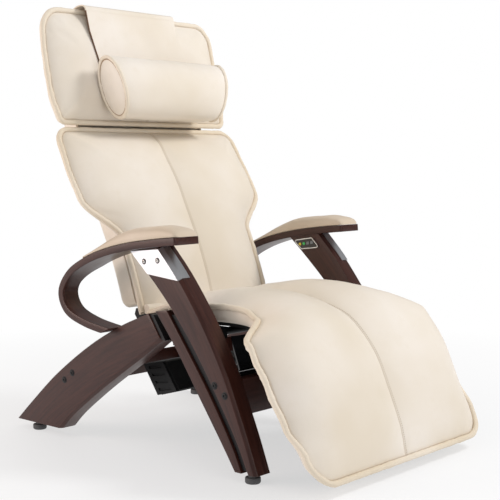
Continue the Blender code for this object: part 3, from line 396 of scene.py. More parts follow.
# The armrest pads' leather is a darker copy of the cream: painted shade, set to match their shaded sides.
ARM_LEATHER = leather("arm_leather", (0.62, 0.525, 0.42), False)
WOOD = wood("stained_beech", (0.030, 0.0080, 0.0052), (0.056, 0.0165, 0.0108), 0.33)
ALUMINIUM = speckled("brushed_aluminium", (0.80, 0.81, 0.84), 0.30, 1.0, 900.0, 0.0001, (1, 0.04, 0.04))
STEEL = speckled("black_powder_coat", (0.009, 0.009, 0.010), 0.50, Specular_IOR_Level=0.35)
CHROME = speckled("plated_steel", (0.72, 0.72, 0.74), 0.16, 1.0, 700.0, 0.00003)
PLASTIC = speckled("black_plastic", (0.009, 0.009, 0.010), 0.50, Specular_IOR_Level=0.38)
GLOSS = speckled("gloss_black", (0.006, 0.006, 0.008), 0.10, 0.0, 300.0, 0.00003, Coat_Weight=0.6)
RUBBER = speckled("grey_rubber", (0.075, 0.075, 0.078), 0.70, 0.0, 1100.0, 0.0002)
SCREW = speckled("screw_steel", (0.58, 0.57, 0.55), 0.26, 1.0, 900.0, 0.00004)
# Dark brown for the flap's edge tube: a painted shadow along the strap's side.
FLAP_EDGE_SHADE = speckled("flap_edge_shade", (0.13, 0.065, 0.035), 0.75, 0.0, 1500.0, 0.0003)
YELLOW = speckled("yellow_key", (0.78, 0.60, 0.07), 0.35)
GREEN = speckled("green_key", (0.05, 0.50, 0.12), 0.35)
GREY = speckled("grey_key", (0.20, 0.21, 0.22), 0.40)


# ------------------------------------------------------------------ meshes
def link_object(name, data):
    """New object in the scene."""
    thing = bpy.data.objects.new(name, data)
    bpy.context.scene.collection.objects.link(thing)
    return thing


def add_piece(name, verts, faces, material, body, smooth=38.0, stored=None):
    """Mesh object in the frame, riding on a body.  Vertices are given with Y before the shift."""
    mesh = bpy.data.meshes.new(name)
    points = np.array(verts, float).reshape(-1, 3)
    points[:, 1] += SHIFT
    mesh.from_pydata(points.tolist(), [], [tuple(int(i) for i in f) for f in faces])
    for key, values in (stored or {}).items():
        values = np.asarray(values, np.float32)
        vector = values.ndim == 2
        layer = mesh.attributes.new(key, "FLOAT_VECTOR" if vector else "FLOAT", "POINT")
        layer.data.foreach_set("vector" if vector else "value", values.ravel())
    bm = bmesh.new()
    bm.from_mesh(mesh)
    bmesh.ops.recalc_face_normals(bm, faces=bm.faces[:])
    bm.to_mesh(mesh)
    bm.free()
    mesh.materials.append(material)
    mesh.shade_smooth()
    mesh.set_sharp_from_angle(angle=math.radians(smooth))
    thing = link_object(name, mesh)
    if body:
        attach(thing, body)
    return thing


def tube_faces(rows, columns, closed_ends=True, closed_loop=False):
    """Faces of rows of closed rings, numbered row by row."""
    faces = []
    last = rows if closed_loop else rows - 1
    for i in range(last):
        a, b = i * columns, ((i + 1) % rows) * columns
        for j in range(columns):
            k = (j + 1) % columns
            faces.append((a + j, a + k, b + k, b + j))
    if closed_ends and not closed_loop:
        faces.append(tuple(range(columns))[::-1])
        faces.append(tuple((rows - 1) * columns + j for j in range(columns)))
    return faces


def ribbon(name, side_a, side_b, x_inner, x_outer, corners, body, count=70, soft_ends=0.0012):
    """Long wooden member between two outlines.  corners gives (flat, radius) for the profile's corners
    at A inside, B inside, B outside and A outside; x_inner and x_outer are numbers, or functions of the
    fraction of the length."""
    arc_a, arc_b = lengths(side_a)[-1], lengths(side_b)[-1]
    total = (arc_a + arc_b) / 2
    near = np.array([0.0, 0.0004, 0.0012, 0.0026, 0.0046, 0.0072]) / total
    fractions = np.concatenate([near, np.linspace(0, 1, count)[1:-1], 1 - near[:3][::-1]])
    a = along(side_a, fractions * arc_a)
    b = along(side_b, fractions * arc_b)
    x_in = x_inner(fractions) if callable(x_inner) else np.full(len(fractions), x_inner)
    x_out = x_outer(fractions) if callable(x_outer) else np.full(len(fractions), x_outer)
    verts, grain = [], []
    for i, fraction in enumerate(fractions):
        width = np.linalg.norm(b[i] - a[i])
        across = (b[i] - a[i]) / width
        end_gap = min(fraction, 1 - fraction) * total
        shrink = float(corner_share(end_gap, soft_ends))
        sign = 1.0 if x_out[i] > x_in[i] else -1.0
        xi, xo = x_in[i] + sign * shrink, x_out[i] - sign * shrink
        square = [(shrink, xi, 1, sign), (width - shrink, xi, -1, sign),
                  (width - shrink, xo, -1, -sign), (shrink, xo, 1, -sign)]
        outline, radii = [], []
        for k, (t, x, dt, dx) in enumerate(square):
            flat, radius = corners[k]
            if flat:
                pair = [(t, x + dx * flat), (t + dt * flat, x)]
                outline += pair if k in (0, 2) else pair[::-1]
                radii += [radius, radius]
            else:
                outline.append((t, x))
                radii.append(radius)
        for t, x in rounded(outline, radii):
            place = a[i] + across * t
            verts.append((x, place[0], place[1]))
            grain.append((fraction * total, t, x))
    columns = len(verts) // len(fractions)
    return add_piece(name, verts, tube_faces(len(fractions), columns), WOOD, body, 32.0,
                     {"grain": grain})


def lathe(name, centre, axis, rings, material, body, segments=28, smooth=35.0):
    """Turned piece: rings are (radius, height along the axis)."""
    turn = Vector(axis).to_track_quat("Z", "Y")
    verts = []
    for radius, height in rings:
        for k in range(segments):
            angle = k * math.tau / segments
            verts.append(Vector(centre) + turn @ Vector((radius * math.cos(angle),
                                                         radius * math.sin(angle), height)))
    return add_piece(name, verts, tube_faces(len(rings), segments), material, body, smooth)


def sweep(name, path, first, second, radius, material, body, closed=False, around=10):
    """Tube along a path, with a direction pair and a radius for each of its points."""
    verts = []
    for i in range(len(path)):
        for k in range(around):
            angle = k * math.tau / around
            verts.append(path[i] + radius[i] * (math.cos(angle) * first[i] + math.sin(angle) * second[i]))
    return add_piece(name, verts, tube_faces(len(path), around, True, closed), material, body, 60.0)


# ------------------------------------------------------------------ padded pieces
class Pad:
    """A padded shape over a seam line: places are (x, s, height), with s along the seam.

    lead and tail carry the pad past the ends of its seam, fold is how far its open start sinks where two
    pads meet, and tuck is how far its sides draw in towards its back."""

    def __init__(self, seam, sign, width, edge, depth, start_corner, end_corner, open_start=False,
                 lead=0.0, tail=0.0):
        self.line = curve_through(seam, 14)
        step = (self.line[0] - self.line[1]) / np.linalg.norm(self.line[0] - self.line[1])
        self.line = np.vstack([self.line[0] + step * max(lead, 1e-5), self.line])
        self.open_start, self.lead, self.fold = open_start, lead, 0.0
        self.tuck = [(0.0, 0.0), (1.0, 0.0)]
        step = (self.line[-1] - self.line[-2]) / np.linalg.norm(self.line[-1] - self.line[-2])
        self.span = lengths(self.line)[-1] - lead
        self.line = np.vstack([self.line, self.line[-1] + step * max(tail, 1e-5)])
        self.length = lengths(self.line)[-1]
        self.sign = sign
        self.width, self.edge, self.depth = width, edge, depth
        self.start_corner, self.end_corner = start_corner, end_corner
        self.normals = sign * left_normals(self.line)

    def share(self, s):
        """Fraction of the seam line at s, without the lengths added at its ends."""
        return np.clip((s - self.lead) / self.span, 0, 1)

    def frame_at(self, s):
        """Seam point, normal and tangent at the distances s."""
        arc = lengths(self.line)
        normal = np.stack([np.interp(s, arc, self.normals[:, k]) for k in (0, 1)], -1)
        normal /= np.linalg.norm(normal, axis=-1)[..., None]
        tangent = self.sign * np.stack([normal[..., 1], -normal[..., 0]], -1)
        return along(self.line, s), normal, tangent

    def half(self, s, inset=0.0):
        """Half width of the outline at s, drawn in by inset all round."""
        out = ramp(self.share(s), self.width) - inset
        out = out - corner_share(np.maximum(self.length - inset - s, 0), self.end_corner - inset)
        if self.open_start:
            return out
        return out - corner_share(np.maximum(s - inset, 0), max(self.start_corner - inset, 1e-4))

    def first(self, inset):
        """Where the cover begins: inside the outline, or just past it where two pads meet in a fold."""
        return -0.006 if self.open_start else inset

    def place(self, x, s, height):
        """World points, before the shift."""
        point, normal, _ = self.frame_at(s)
        spot = point + normal * np.asarray(height)[..., None]
        return np.stack([x, spot[..., 0], spot[..., 1]], -1)

    def outline(self, inset, pitch=0.005):
        """Closed outline in the flat, as (x, s) points with outward normals and arc lengths."""
        first = self.first(inset) - (0.08 if self.open_start else 0.0)
        ends = np.concatenate([np.geomspace(0.0004, 0.02, 9), np.arange(0.025, 0.09, 0.005)])
        s = np.concatenate([[first], first + ends, np.arange(first + 0.1, self.length - 0.1, 0.01),
                            self.length - inset - ends[::-1], [self.length - inset]])
        s = np.unique(np.clip(s, first, self.length - inset))
        half = self.half(s, inset)
        ring = np.concatenate([np.stack([half, s], -1), np.stack([-half[::-1], s[::-1]], -1)])
        closed = np.vstack([ring, ring[:1]])
        count = int(lengths(closed)[-1] / pitch)
        out = along(closed, np.linspace(0, lengths(closed)[-1], count, endpoint=False))
        return out, ring_normals(out)

    def nearest(self, x, s, inset):
        """Distance from the inset outline, and the arc length of the nearest place on it."""
        ring, _ = self.outline(inset, 0.004)
        a, b = ring, np.roll(ring, -1, axis=0)
        arc = np.concatenate([[0], np.cumsum(np.linalg.norm(b - a, axis=1))])[:-1]
        spots = np.stack([x.ravel(), s.ravel()], -1)
        best = np.full(len(spots), 9.0)
        where = np.zeros(len(spots))
        for start in range(0, len(spots), 4000):
            chunk = spots[start:start + 4000, None, :]
            run = b - a
            t = np.clip(((chunk - a) * run).sum(-1) / ((run ** 2).sum(-1) + 1e-12), 0, 1)
            gap = np.linalg.norm(chunk - (a + run * t[..., None]), axis=-1)
            index = gap.argmin(1)
            best[start:start + 4000] = gap[np.arange(len(index)), index]
            where[start:start + 4000] = arc[index]
        return best.reshape(x.shape), where.reshape(x.shape)


def spaced(length, ends, pitch):
    """Places from 0 to length: close together at both ends, pitch apart between."""
    ends = np.array(ends)
    count = max(int((length - 2 * ends[-1]) / pitch), 2)
    middle = np.linspace(ends[-1], length - ends[-1], count + 1)[1:-1]
    return np.concatenate([ends, middle, length - ends[::-1]])


def swell(thing, pinned, pressure, cap, frames=20, stiffness=12.0):
    """Blow a pad's cover up between its seams with a cloth simulation, and keep the result.  No point
    moves further than cap."""
    group = thing.vertex_groups.new(name="pin")
    for index in np.nonzero(pinned > 0)[0]:
        group.add([int(index)], float(pinned[index]), "REPLACE")
    cloth = thing.modifiers.new("swell", "CLOTH")
    settings = cloth.settings
    settings.quality = 5
    settings.mass = 0.3
    settings.tension_stiffness = stiffness
    settings.compression_stiffness = stiffness
    settings.shear_stiffness = stiffness * 0.4
    settings.bending_stiffness = 0.6
    settings.air_damping = 4.0
    settings.use_pressure = True
    settings.uniform_pressure_force = pressure
    settings.vertex_group_mass = "pin"
    settings.effector_weights.gravity = 0.0
    cloth.collision_settings.use_collision = False
    cloth.point_cache.frame_start = 1
    cloth.point_cache.frame_end = frames
    scene = bpy.context.scene
    for step in range(1, frames + 1):
        scene.frame_set(step)
    evaluated = thing.evaluated_get(bpy.context.evaluated_depsgraph_get())
    count = len(thing.data.vertices)
    blown = np.zeros(count * 3)
    evaluated.data.vertices.foreach_get("co", blown)
    rest = np.zeros(count * 3)
    thing.data.vertices.foreach_get("co", rest)
    blown, rest = blown.reshape(-1, 3), rest.reshape(-1, 3)
    move = blown - rest
    size = np.linalg.norm(move, axis=1)
    move *= (cap * np.tanh(size / cap) / np.maximum(size, 1e-9))[:, None]
    thing.modifiers.remove(cloth)
    thing.vertex_groups.clear()
    thing.data.vertices.foreach_set("co", (rest + move).ravel())
    thing.data.update()
    scene.frame_set(1)


def cover_grid(pad, inset):
    """Rows and columns of places (x, s) over a pad's face, and the half width of each row."""
    ends = (0.0, 0.0016, 0.0036, 0.0062, 0.0100, 0.0150, 0.0215, 0.0290)
    first = pad.first(inset)
    s_row = spaced(pad.length - inset - first, ends, COVER_PITCH) + first
    across = np.sort(COVER_HALF - spaced(2 * COVER_HALF, ends, COVER_PITCH)[::-1])
    groove = np.array([-0.0075, -0.0045, -0.0022, 0.0, 0.0022, 0.0045, 0.0075])
    columns = np.unique(np.round(np.concatenate([across[np.abs(across) > GROOVE_HALF], groove]), 6))
    half = pad.half(s_row, inset)[:, None]
    narrow = np.abs(columns)[None, :] < GROOVE_HALF
    x = np.where(narrow, columns[None, :], half * (columns / COVER_HALF)[None, :])
    return x, np.repeat(s_row[:, None], len(columns), 1), half


def puckers(x, s, gap, arc, seed):
    """Small folds that run in from the welt and from the middle seam, and soft unevenness between."""
    out = np.zeros(x.shape)
    for i, j in np.ndindex(x.shape):
        g = gap[i, j]
        if g < 0.075:
            out[i, j] = (0.0011 * wobble(arc[i, j] * 42.0, seed, g * 9.0) * math.exp(-g / 0.022)
                         + 0.0006 * wobble(arc[i, j] * 120.0, seed + 5, g * 20) * math.exp(-g / 0.010))
        out[i, j] += 0.0011 * wobble(x[i, j] * 7.0, s[i, j] * 7.0 + seed, 3.0)
        if abs(x[i, j]) < 0.05:
            out[i, j] += 0.0008 * wobble(s[i, j] * 60.0, seed + 9, 0.0) * math.exp(-abs(x[i, j]) / 0.014)
    return out


def boxed(pad, x, s, height):
    """Vertices and faces of a cover: its face at the given heights, its sides and its back."""
    rows, cols = x.shape
    index = np.arange(rows * cols).reshape(rows, cols)
    faces = [(index[i, j], index[i, j + 1], index[i + 1, j + 1], index[i + 1, j])
             for i in range(rows - 1) for j in range(cols - 1)]
    ring = list(index[0, :]) + list(index[1:, -1]) + list(index[-1, -2::-1]) + list(index[-2:0:-1, 0])
    flat = np.stack([x.ravel(), s.ravel()], -1)[ring]
    outward = ring_normals(flat)
    if (outward * (flat - np.array([0, pad.length / 2]))).sum() < 0:
        outward = -outward
    border = height.ravel()[ring]
    depth = ramp(pad.share(flat[:, 1]), pad.depth)
    tuck = ramp(pad.share(flat[:, 1]), pad.tuck)[:, None]
    verts = list(pad.place(x, s, height).reshape(-1, 3))
    last = ring
    for out, share_down in ((0.0012, 0.10), (0.0022, 0.35), (0.0010, 0.75), (-0.0045, 0.97), (-0.0105, 1.0)):
        spot = flat + outward * (out - tuck * share_down ** 1.5)
        upper, last = last, list(range(len(verts), len(verts) + len(ring)))
        verts.extend(pad.place(spot[:, 0], spot[:, 1], border + (-depth - border) * share_down))
        faces += [(upper[k], last[k], last[n], upper[n])
                  for k, n in zip(range(len(ring)), [*range(1, len(ring)), 0])]
    corner = cols + rows - 2
    end_row = last[corner:corner + cols]
    right_side = last[cols - 1:corner + 1]
    left_side = [last[0]] + last[:-(rows - 1):-1][:rows - 2] + [end_row[-1]]
    for i in range(1, rows - 2):
        faces.append((left_side[i], right_side[i], right_side[i + 1], left_side[i + 1]))
    faces.append(tuple(last[:cols]) + (right_side[1], left_side[1]))
    faces.append(tuple(end_row) + (left_side[-2], right_side[-2]))
    return verts, faces


def cushion(name, pad, body, nodes, puff, shoulder, power, seam_depth, seed, extra=None):
    """Padded cover over a pad: face with a middle seam, boxed sides, a back, and a welt round the edge."""
    inset = WELT * 1.15
    x, s, half = cover_grid(pad, inset)
    gap, arc = pad.nearest(x, s, inset)
    share = pad.share(s)
    rise = 1 - (1 - np.clip(gap / shoulder, 0, 1)) ** power
    lobes = ramp(share, puff) * (1 - (2 * np.clip(np.abs(x) / np.maximum(half, 1e-6), 0, 1) - 1) ** 2)
    height = -ramp(share, pad.edge) * (1 - rise) + lobes * rise - 0.0080 * np.exp(-gap / 0.0095)
    height -= seam_depth * np.exp(-(x / 0.0042) ** 2) * np.clip(gap / 0.01, 0, 1)
    height -= 0.0025 * np.exp(-np.abs(x) / 0.022) * np.clip(gap / 0.02, 0, 1)
    height += puckers(x, s, gap, arc, seed) * np.clip(gap / 0.003, 0, 1)
    if extra is not None:
        height += extra(x, s)
    verts, faces = boxed(pad, x, s, height)
    far = np.full(len(verts) - x.size, UNSEAMED)
    stored = {key: np.concatenate([values.ravel(), far])
              for key, values in (("edge", gap), ("seam", np.abs(x)), ("arc", s))}
    thing = add_piece(name, verts, faces, LEATHER, None, 60.0, stored)
    pinned = np.ones(len(verts))
    pinned[:x.size] = np.where((gap > 0.004) & (np.abs(x) > 0.0030), 0.0, 1.0).ravel()
    swell(thing, pinned, COVER_PRESSURE, SWELL_LIMIT)
    thing.modifiers.new("smooth", "SUBSURF").levels = 1
    thing.modifiers["smooth"].render_levels = 1
    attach(thing, body)
    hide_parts(*nodes)
    welt_round(name + "_welt", pad, body, seed)


def welt_round(name, pad, body, seed):
    """Puckered welt that follows a pad's edge: closed, or left open at the pad's open start."""
    ring, normal = pad.outline(WELT)
    if pad.open_start:
        beyond = [i for i in range(len(ring)) if ring[i, 1] < WELT_START]
        first = max(beyond, key=lambda i: (i - 1) % len(ring) not in beyond)
        order = [i for i in np.roll(np.arange(len(ring)), -first) if ring[i, 1] >= WELT_START]
        ring, normal = ring[order], normal[order]
    arc = np.concatenate([[0], np.cumsum(np.linalg.norm(np.diff(ring, axis=0), axis=1))])
    edge = ramp(pad.share(ring[:, 1]), pad.edge)
    if pad.fold:
        edge = edge + pad.fold * np.exp(-(ring[:, 1] / 0.05) ** 2)
    _, up, tangent = pad.frame_at(ring[:, 1])
    radius = np.array([WELT * (1 + 0.15 * wobble(a * 34.0, seed, 1.0) + 0.12 * wobble(a * 110.0, seed, 2.0))
                       for a in arc])
    sway = np.array([0.0012 * wobble(a * 24.0, seed, 7.0) for a in arc])
    centre = pad.place(ring[:, 0], ring[:, 1], -edge - 0.0012 + sway)
    first = np.stack([normal[:, 0], normal[:, 1] * tangent[:, 0], normal[:, 1] * tangent[:, 1]], -1)
    second = np.stack([np.zeros(len(up)), up[:, 0], up[:, 1]], -1)
    thing = sweep(name, centre, first, second, radius, PIPING, body,
                  closed=not pad.open_start, around=12)


def seat_and_leg_rest():
    """One continuous pad for the seat and the leg rest."""
    pad = Pad(SEAT_SEAM, -1.0, SEAT_WIDTH, SEAT_EDGE, SEAT_DEPTH, 0.004, 0.060, True)
    pad.fold = 0.017
    pad.tuck = [(0.50, 0.0), (0.60, 0.028), (1.0, 0.024)]

    def creases(x, s):
        """Folds that fan out from the back, where the seat sinks in."""
        near_back = np.exp(-(s / 0.035) ** 2)
        fan = 0.0018 * np.sin(x * 95.0 + 1.3 * np.sin(x * 31.0)) * near_back
        return fan - pad.fold * np.exp(-(s / 0.05) ** 2)

    cushion("seat_cover", pad, "seat", ["seat_pad"], SEAT_PUFF, 0.105, 2.7, 0.0030, 1.0, creases)


def back():
    """Waisted back pad."""
    pad = Pad(BACK_SEAM, 1.0, BACK_WIDTH, BACK_EDGE, [(0.0, 0.046), (1.0, 0.046)], 0.004, 0.050, True,
              0.021, 0.0215)
    puff = [(0.0, 0.002), (0.2, 0.007), (0.9, 0.007), (1.0, 0.003)]

    def creases(x, s):
        """Folds that rise from the seat."""
        near_seat = np.exp(-(s / 0.030) ** 2)
        return 0.0016 * np.sin(x * 88.0 + 2.0) * near_seat

    cushion("back_cover", pad, "backrest", ["back_pad"], puff, 0.090, 2.6, 0.0028, 4.0, creases)


def head():
    """Head pad."""
    pad = Pad(HEAD_SEAM, 1.0, HEAD_WIDTH, HEAD_EDGE, [(0.0, 0.044), (1.0, 0.044)], 0.022, 0.065, False,
              0.0010)
    puff = [(0.0, 0.004), (0.3, 0.007), (0.8, 0.006), (1.0, 0.003)]
    cushion("head_cover", pad, "backrest", ["head_pad"], puff, 0.080, 2.6, 0.0, 7.0)


seat_and_leg_rest()
back()
head()


# ------------------------------------------------------------------ wood
def offset_lines(line, distance):
    """Two lines at half the distance on each side of a line."""
    normal = left_normals(line)
    return line + normal * distance / 2, line - normal * distance / 2


def stop_at(line, limit):
    """The start of a line, up to where its far end first lies below the limit line."""
    order = np.argsort(limit[:, 0])
    for i in range(len(line) // 2, len(line)):
        if line[i, 1] < np.interp(line[i, 0], limit[order, 0], limit[order, 1]) + 0.0004:
            return line[:i]
    return line


def leg_spacer(side, sign, top, under):
    """Black block, a little recessed, between the rear leg's end and the slat."""
    low, high = under[-1], top[-1]
    step = (np.array(SLAT_BACK[0]) + np.array(SLAT_BACK[1])) / 2 - (low + high) / 2
    step *= (SPACER_GAP + 0.004) / np.linalg.norm(step)
    inward = (low - high) / np.linalg.norm(low - high) * 0.002
    ring = rounded([high + inward, high + inward + step, low - inward + step, low - inward], [0.001] * 4)
    verts = [(sign * x, y, z) for x in (LEG_INNER_X + 0.004, LEG_OUTER_X - 0.004) for y, z in ring]
    add_piece("leg_spacer_" + side, verts, tube_faces(2, len(ring)), PLASTIC, "base", 32.0)


def side_frame(side, sign):
    """Rear leg, split front leg and bentwood armrest of one side."""
    inner, outer = sign * LEG_INNER_X, sign * LEG_OUTER_X
    soft, blunt = (0.0, 0.0016), (0.0, 0.0022)
    flat = (LEG_CHAMFER, 0.0016)
    leg_top = curve_through(REAR_LEG_TOP)
    leg_under = curve_through(REAR_LEG_UNDER)[::-1]
    short_top = along(leg_top, np.linspace(0, lengths(leg_top)[-1] - SPACER_GAP, 60))
    short_under = along(leg_under, np.linspace(0, lengths(leg_under)[-1] - SPACER_GAP, 60))
    leg = ribbon("rear_leg_wood_" + side, short_top, short_under, inner, outer, (soft, soft, flat, soft),
                 "base")
    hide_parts("rear_leg_" + side)
    leg_spacer(side, sign, short_top, short_under)
    for name, front, rear, corners in (
            ("front_slat", SLAT_FRONT, SLAT_BACK, (soft, soft, blunt, blunt)),
            ("front_post", POST_FRONT, POST_BACK, (soft, soft, soft, flat))):
        member = ribbon(name + "_wood_" + side, curve_through(front)[::-1], curve_through(rear)[::-1],
                        inner, outer, corners, "base")
        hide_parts(name + "_" + side)
    line = curve_through(ARM_LOOP, 16)
    over, under = offset_lines(line, ARM_THICKNESS)
    over, under = stop_at(over, leg_top), stop_at(under, leg_top)
    total = (lengths(over)[-1] + lengths(under)[-1]) / 2
    arc = lengths(line)
    index = np.linspace(0, 1, len(line))

    def x_inner(fraction):
        """Inner side of the armrest: further out at the rear, and drawn in at the front end."""
        place = np.interp(fraction * total, arc, index)
        x = ramp(place, [(0.42, ARM_INNER_X), (0.56, ARM_INNER_REAR_X)])
        return sign * (x + corner_share(fraction * total, 0.007))

    def x_outer(fraction):
        """Outer side of the armrest, drawn in at the front end."""
        return sign * (ARM_OUTER_X - corner_share(fraction * total, 0.007))

    edge = (0.0, 0.0024)
    arm = ribbon("armrest_wood_" + side, over, under, x_inner, x_outer, (edge,) * 4, "base", 110, 0.0016)
    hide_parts("armrest_" + side)


def glides(side, sign):
    """Rubber foot glides, each on a short stem."""
    x = sign * (LEG_INNER_X + LEG_OUTER_X) / 2
    for place, y in (("rear", 0.592), ("front", -0.206)):
        rings = [(0.0162, 0.0), (0.0178, 0.0012), (0.0188, 0.0034), (0.0188, 0.0120), (0.0180, 0.0140),
                 (0.0150, 0.0150), (0.0115, 0.0156), (0.0110, 0.0175), (0.0110, LEG_BOTTOM_Z - 0.0003)]
        foot = lathe("foot_{}_{}".format(place, side), (x, y, 0.0), (0, 0, 1), rings, RUBBER, "base")
        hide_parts("glide_{}_{}".format(place, side))


def crossbar(name, outline, half, corner, material):
    """Bar of one section from -half to half along X, riding on the base."""
    ring = rounded(outline, [corner] * 4)
    stations = graded([0.0, 0.001], 2 * half, 0.02, 9) - half
    verts = [(x, y, z) for x in stations for y, z in ring]
    stored = {"grain": verts} if material is WOOD else None
    return add_piece(name, verts, tube_faces(len(stations), len(ring)), material, "base", 32.0, stored)


def stretchers():
    """Crossbars between the side frames."""
    for name, outline in (
            ("rear_stretcher", [(0.405, 0.150), (0.430, 0.150), (0.430, 0.1755), (0.405, 0.212)]),
            ("front_stretcher", [(-0.150, 0.146), (-0.124, 0.146), (-0.124, 0.236), (-0.150, 0.236)])):
        bar = crossbar(name + "_wood", outline, LEG_INNER_X - 0.0004, 0.0025, WOOD)
        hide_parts(name)


def under_seat_shade_panel():
    """Black panel that closes the gap between the mechanism cover and the front stretcher: a dark sheet that
    paints the shade under the seat.
    """
    outline = [(-0.1236, 0.2315), (-0.0660, 0.2275), (-0.0660, 0.2300), (-0.1236, 0.2340)]
    crossbar("under_seat_shade_panel", outline, 0.280, 0.0006, PLASTIC)


def screw(name, place, out, material, ring_material, size):
    """Button-headed screw with a socket, in a dark ring."""
    ring = [(0.0086, -0.0010), (0.0086, 0.00035), (0.0082, 0.0006), (0.0060, 0.0006)]
    button = [(0.0060, -0.0010), (0.0060, 0.0010), (0.0056, 0.0019), (0.0044, 0.0027), (0.0028, 0.0030),
              (0.0024, 0.0029), (0.0022, 0.0012)]
    for end, rings, look in (("_ring", ring, ring_material), ("", button, material)):
        scaled = [(radius * size, height) for radius, height in rings]
        lathe(name + end, place, (out, 0, 0), scaled, look, "base")


def screws(side, sign):
    """Bolts through the legs and through the armrest brackets."""
    leg_places = ((0.450, 0.162), (0.417, 0.185), (-0.107, 0.221), (-0.140, 0.201))
    bracket_places = ((0.130, 0.502), (0.082, 0.507))
    for kind, places, x, look, slot, size in (
            ("leg", leg_places, LEG_OUTER_X, STEEL, "black_steel", 1.1),
            ("bracket", bracket_places, LEG_OUTER_X + 0.0029, SCREW, "polished_steel", 0.85)):
        for index, (y, z) in enumerate(places):
            name = "{}_bolt_{}_{}".format(kind, index + 1, side)
            screw(name, (sign * x, y, z), sign, look, PLASTIC, size)


# ------------------------------------------------------------------ armrest pads, pillow, strap, shell
def armrest_cushion(side, sign):
    """Domed leather pad on an armrest, rolled down at the front and thin at the rear."""
    line = curve_through(ARM_LOOP, 20)[:20 * ARM_PAD_SPANS + 1]
    top, _ = offset_lines(line, ARM_THICKNESS + 0.0012)
    length = lengths(top)[-1]
    places = np.concatenate([[0.0, 0.0006, 0.0018, 0.0036, 0.006, 0.009, 0.0125, 0.0165, 0.021],
                             np.linspace(0.026, length - 0.004, 62), [length]])
    base = along(top, places)
    normal = left_normals(base)
    middle = (ARM_INNER_X + ARM_OUTER_X) / 2
    half = (ARM_OUTER_X - ARM_INNER_X) / 2 - 0.0015
    height = ramp(places / length, [(0.0, 0.020), (0.20, 0.031), (0.45, 0.034), (1.0, 0.007)])
    roll = np.sqrt(1 - np.clip(1 - places / 0.022, 0, 1) ** 2)
    height = height * (0.10 + 0.90 * roll)
    width = half - corner_share(places, 0.013)
    verts = []
    for i in range(len(places)):
        loop = []
        for k in range(33):
            angle = math.pi * k / 32
            c, t = math.cos(angle), math.sin(angle)
            x = width[i] * math.copysign(abs(c) ** 0.62, c)
            up = height[i] * (0.06 + 0.94 * t ** 0.66)
            up += 0.0005 * wobble(places[i] * 30, x * 40, 2.0 * sign) * t
            loop.append((x, up))
        loop.append((-width[i] * 0.97, 0.0))
        loop.append((width[i] * 0.97, 0.0))
        for x, up in loop:
            spot = base[i] + normal[i] * up
            verts.append((sign * (middle + x), spot[0], spot[1]))
    thing = add_piece("armrest_cushion_" + side, verts, tube_faces(len(places), 35), ARM_LEATHER, "base",
                      60.0)
    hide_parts("armrest_pad_" + side)


def bolster():
    """Pillow: a bolster with piped, slightly domed end panels and puckers running in from them."""
    length = 2 * PILLOW_HALF_LENGTH
    around = 72
    places = graded([0.0, 0.0015, 0.004, 0.008, 0.014, 0.022, 0.032, 0.045], length, 0.06, 30)
    centre_x, centre_y, centre_z = PILLOW_MIDDLE

    def ring(place, size, rough=1.0):
        """Section of the bolster at a place along it."""
        out = []
        near = min(place, length - place)
        flatter = 1 - 0.16 * math.exp(-near / 0.04)
        for k in range(around):
            angle = k * math.tau / around
            fold = 0.0016 * wobble(k * 0.9, 3.0 + place * 0.4, 0.0) * math.exp(-near / 0.035) * rough
            fold += 0.0017 * wobble(math.cos(angle) * 1.6, math.sin(angle) * 1.6, place * 9.0) * rough
            a = PILLOW_HALF_DEPTH * size * math.cos(angle) * (1 + fold / 0.07) * flatter
            b = PILLOW_HALF_HEIGHT * size * math.sin(angle) * (1 + fold / 0.07)
            slant = 0.22 * (0.004 - b) * math.exp(-near / 0.05) * (1 if place < length / 2 else -1)
            out.append((centre_x - length / 2 + place + slant, centre_y + a + 0.10 * b, centre_z + b))
        return out

    verts = []
    for place in places:
        near = min(place, length - place)
        swelling = 1 - 0.045 * math.exp(-near / 0.012) - 0.012 * math.exp(-near / 0.05)
        verts += ring(place, swelling)
    body = add_piece("pillow_cover", verts, tube_faces(len(places), around, False), PLAIN_LEATHER,
                     "headrest_pillow", 60.0)
    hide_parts("pillow")
    for end, name in ((0.0, "right"), (length, "left")):
        out = -1.0 if end == 0.0 else 1.0
        verts = []
        for size, rise in ((0.945, -0.002), (0.93, 0.0012), (0.90, 0.0030), (0.82, 0.0052), (0.66, 0.0078),
                           (0.45, 0.0094), (0.22, 0.0102), (0.02, 0.0104)):
            rows = ring(end, size, 0.0 if size < 0.9 else 0.3)
            for k, (x, y, z) in enumerate(rows):
                crease = 0.0006 * wobble(k * 0.45, size * 3.0, out)
                verts.append((x + out * (rise * 0.7 + crease), y, z))
        panel = add_piece("pillow_end_" + name, verts, tube_faces(8, around), PLAIN_LEATHER,
                          "headrest_pillow", 60.0)
        edge = np.array(ring(end + out * 0.0005, 0.955, 0.3))
        inner = np.array(ring(end + out * 0.0024, 0.885, 0.0))
        first = edge - edge.mean(axis=0)
        first /= np.linalg.norm(first, axis=1)[:, None]
        second = np.tile([1.0, 0.0, 0.0], (around, 1))
        gathers = np.array([0.0056 * (1 + 0.20 * wobble(k * 0.55, out, 3.0)) for k in range(around)])
        # The seam ring inside the piping is a thin dark tube, a painted shadow line.
        for kind, path, radius, look, sides in (("piping", edge, gathers, PIPING, 10),
                                                ("seam", inner, np.full(around, 0.0016), PILLOW_SEAM_SHADE, 8)):
            roll = sweep("pillow_{}_{}".format(kind, name), path, first, second, radius, look,
                         "headrest_pillow", closed=True, around=sides)


def strap_x(x, height):
    """The strap lies a little towards -X over the head pad, and slants and widens down to the pillow."""
    rise = min(1.0, max(0.0, (height - 0.985) / 0.125))
    return x - 0.024 * rise + 0.018 * (1 - rise) * max(0.0, x / 0.17)


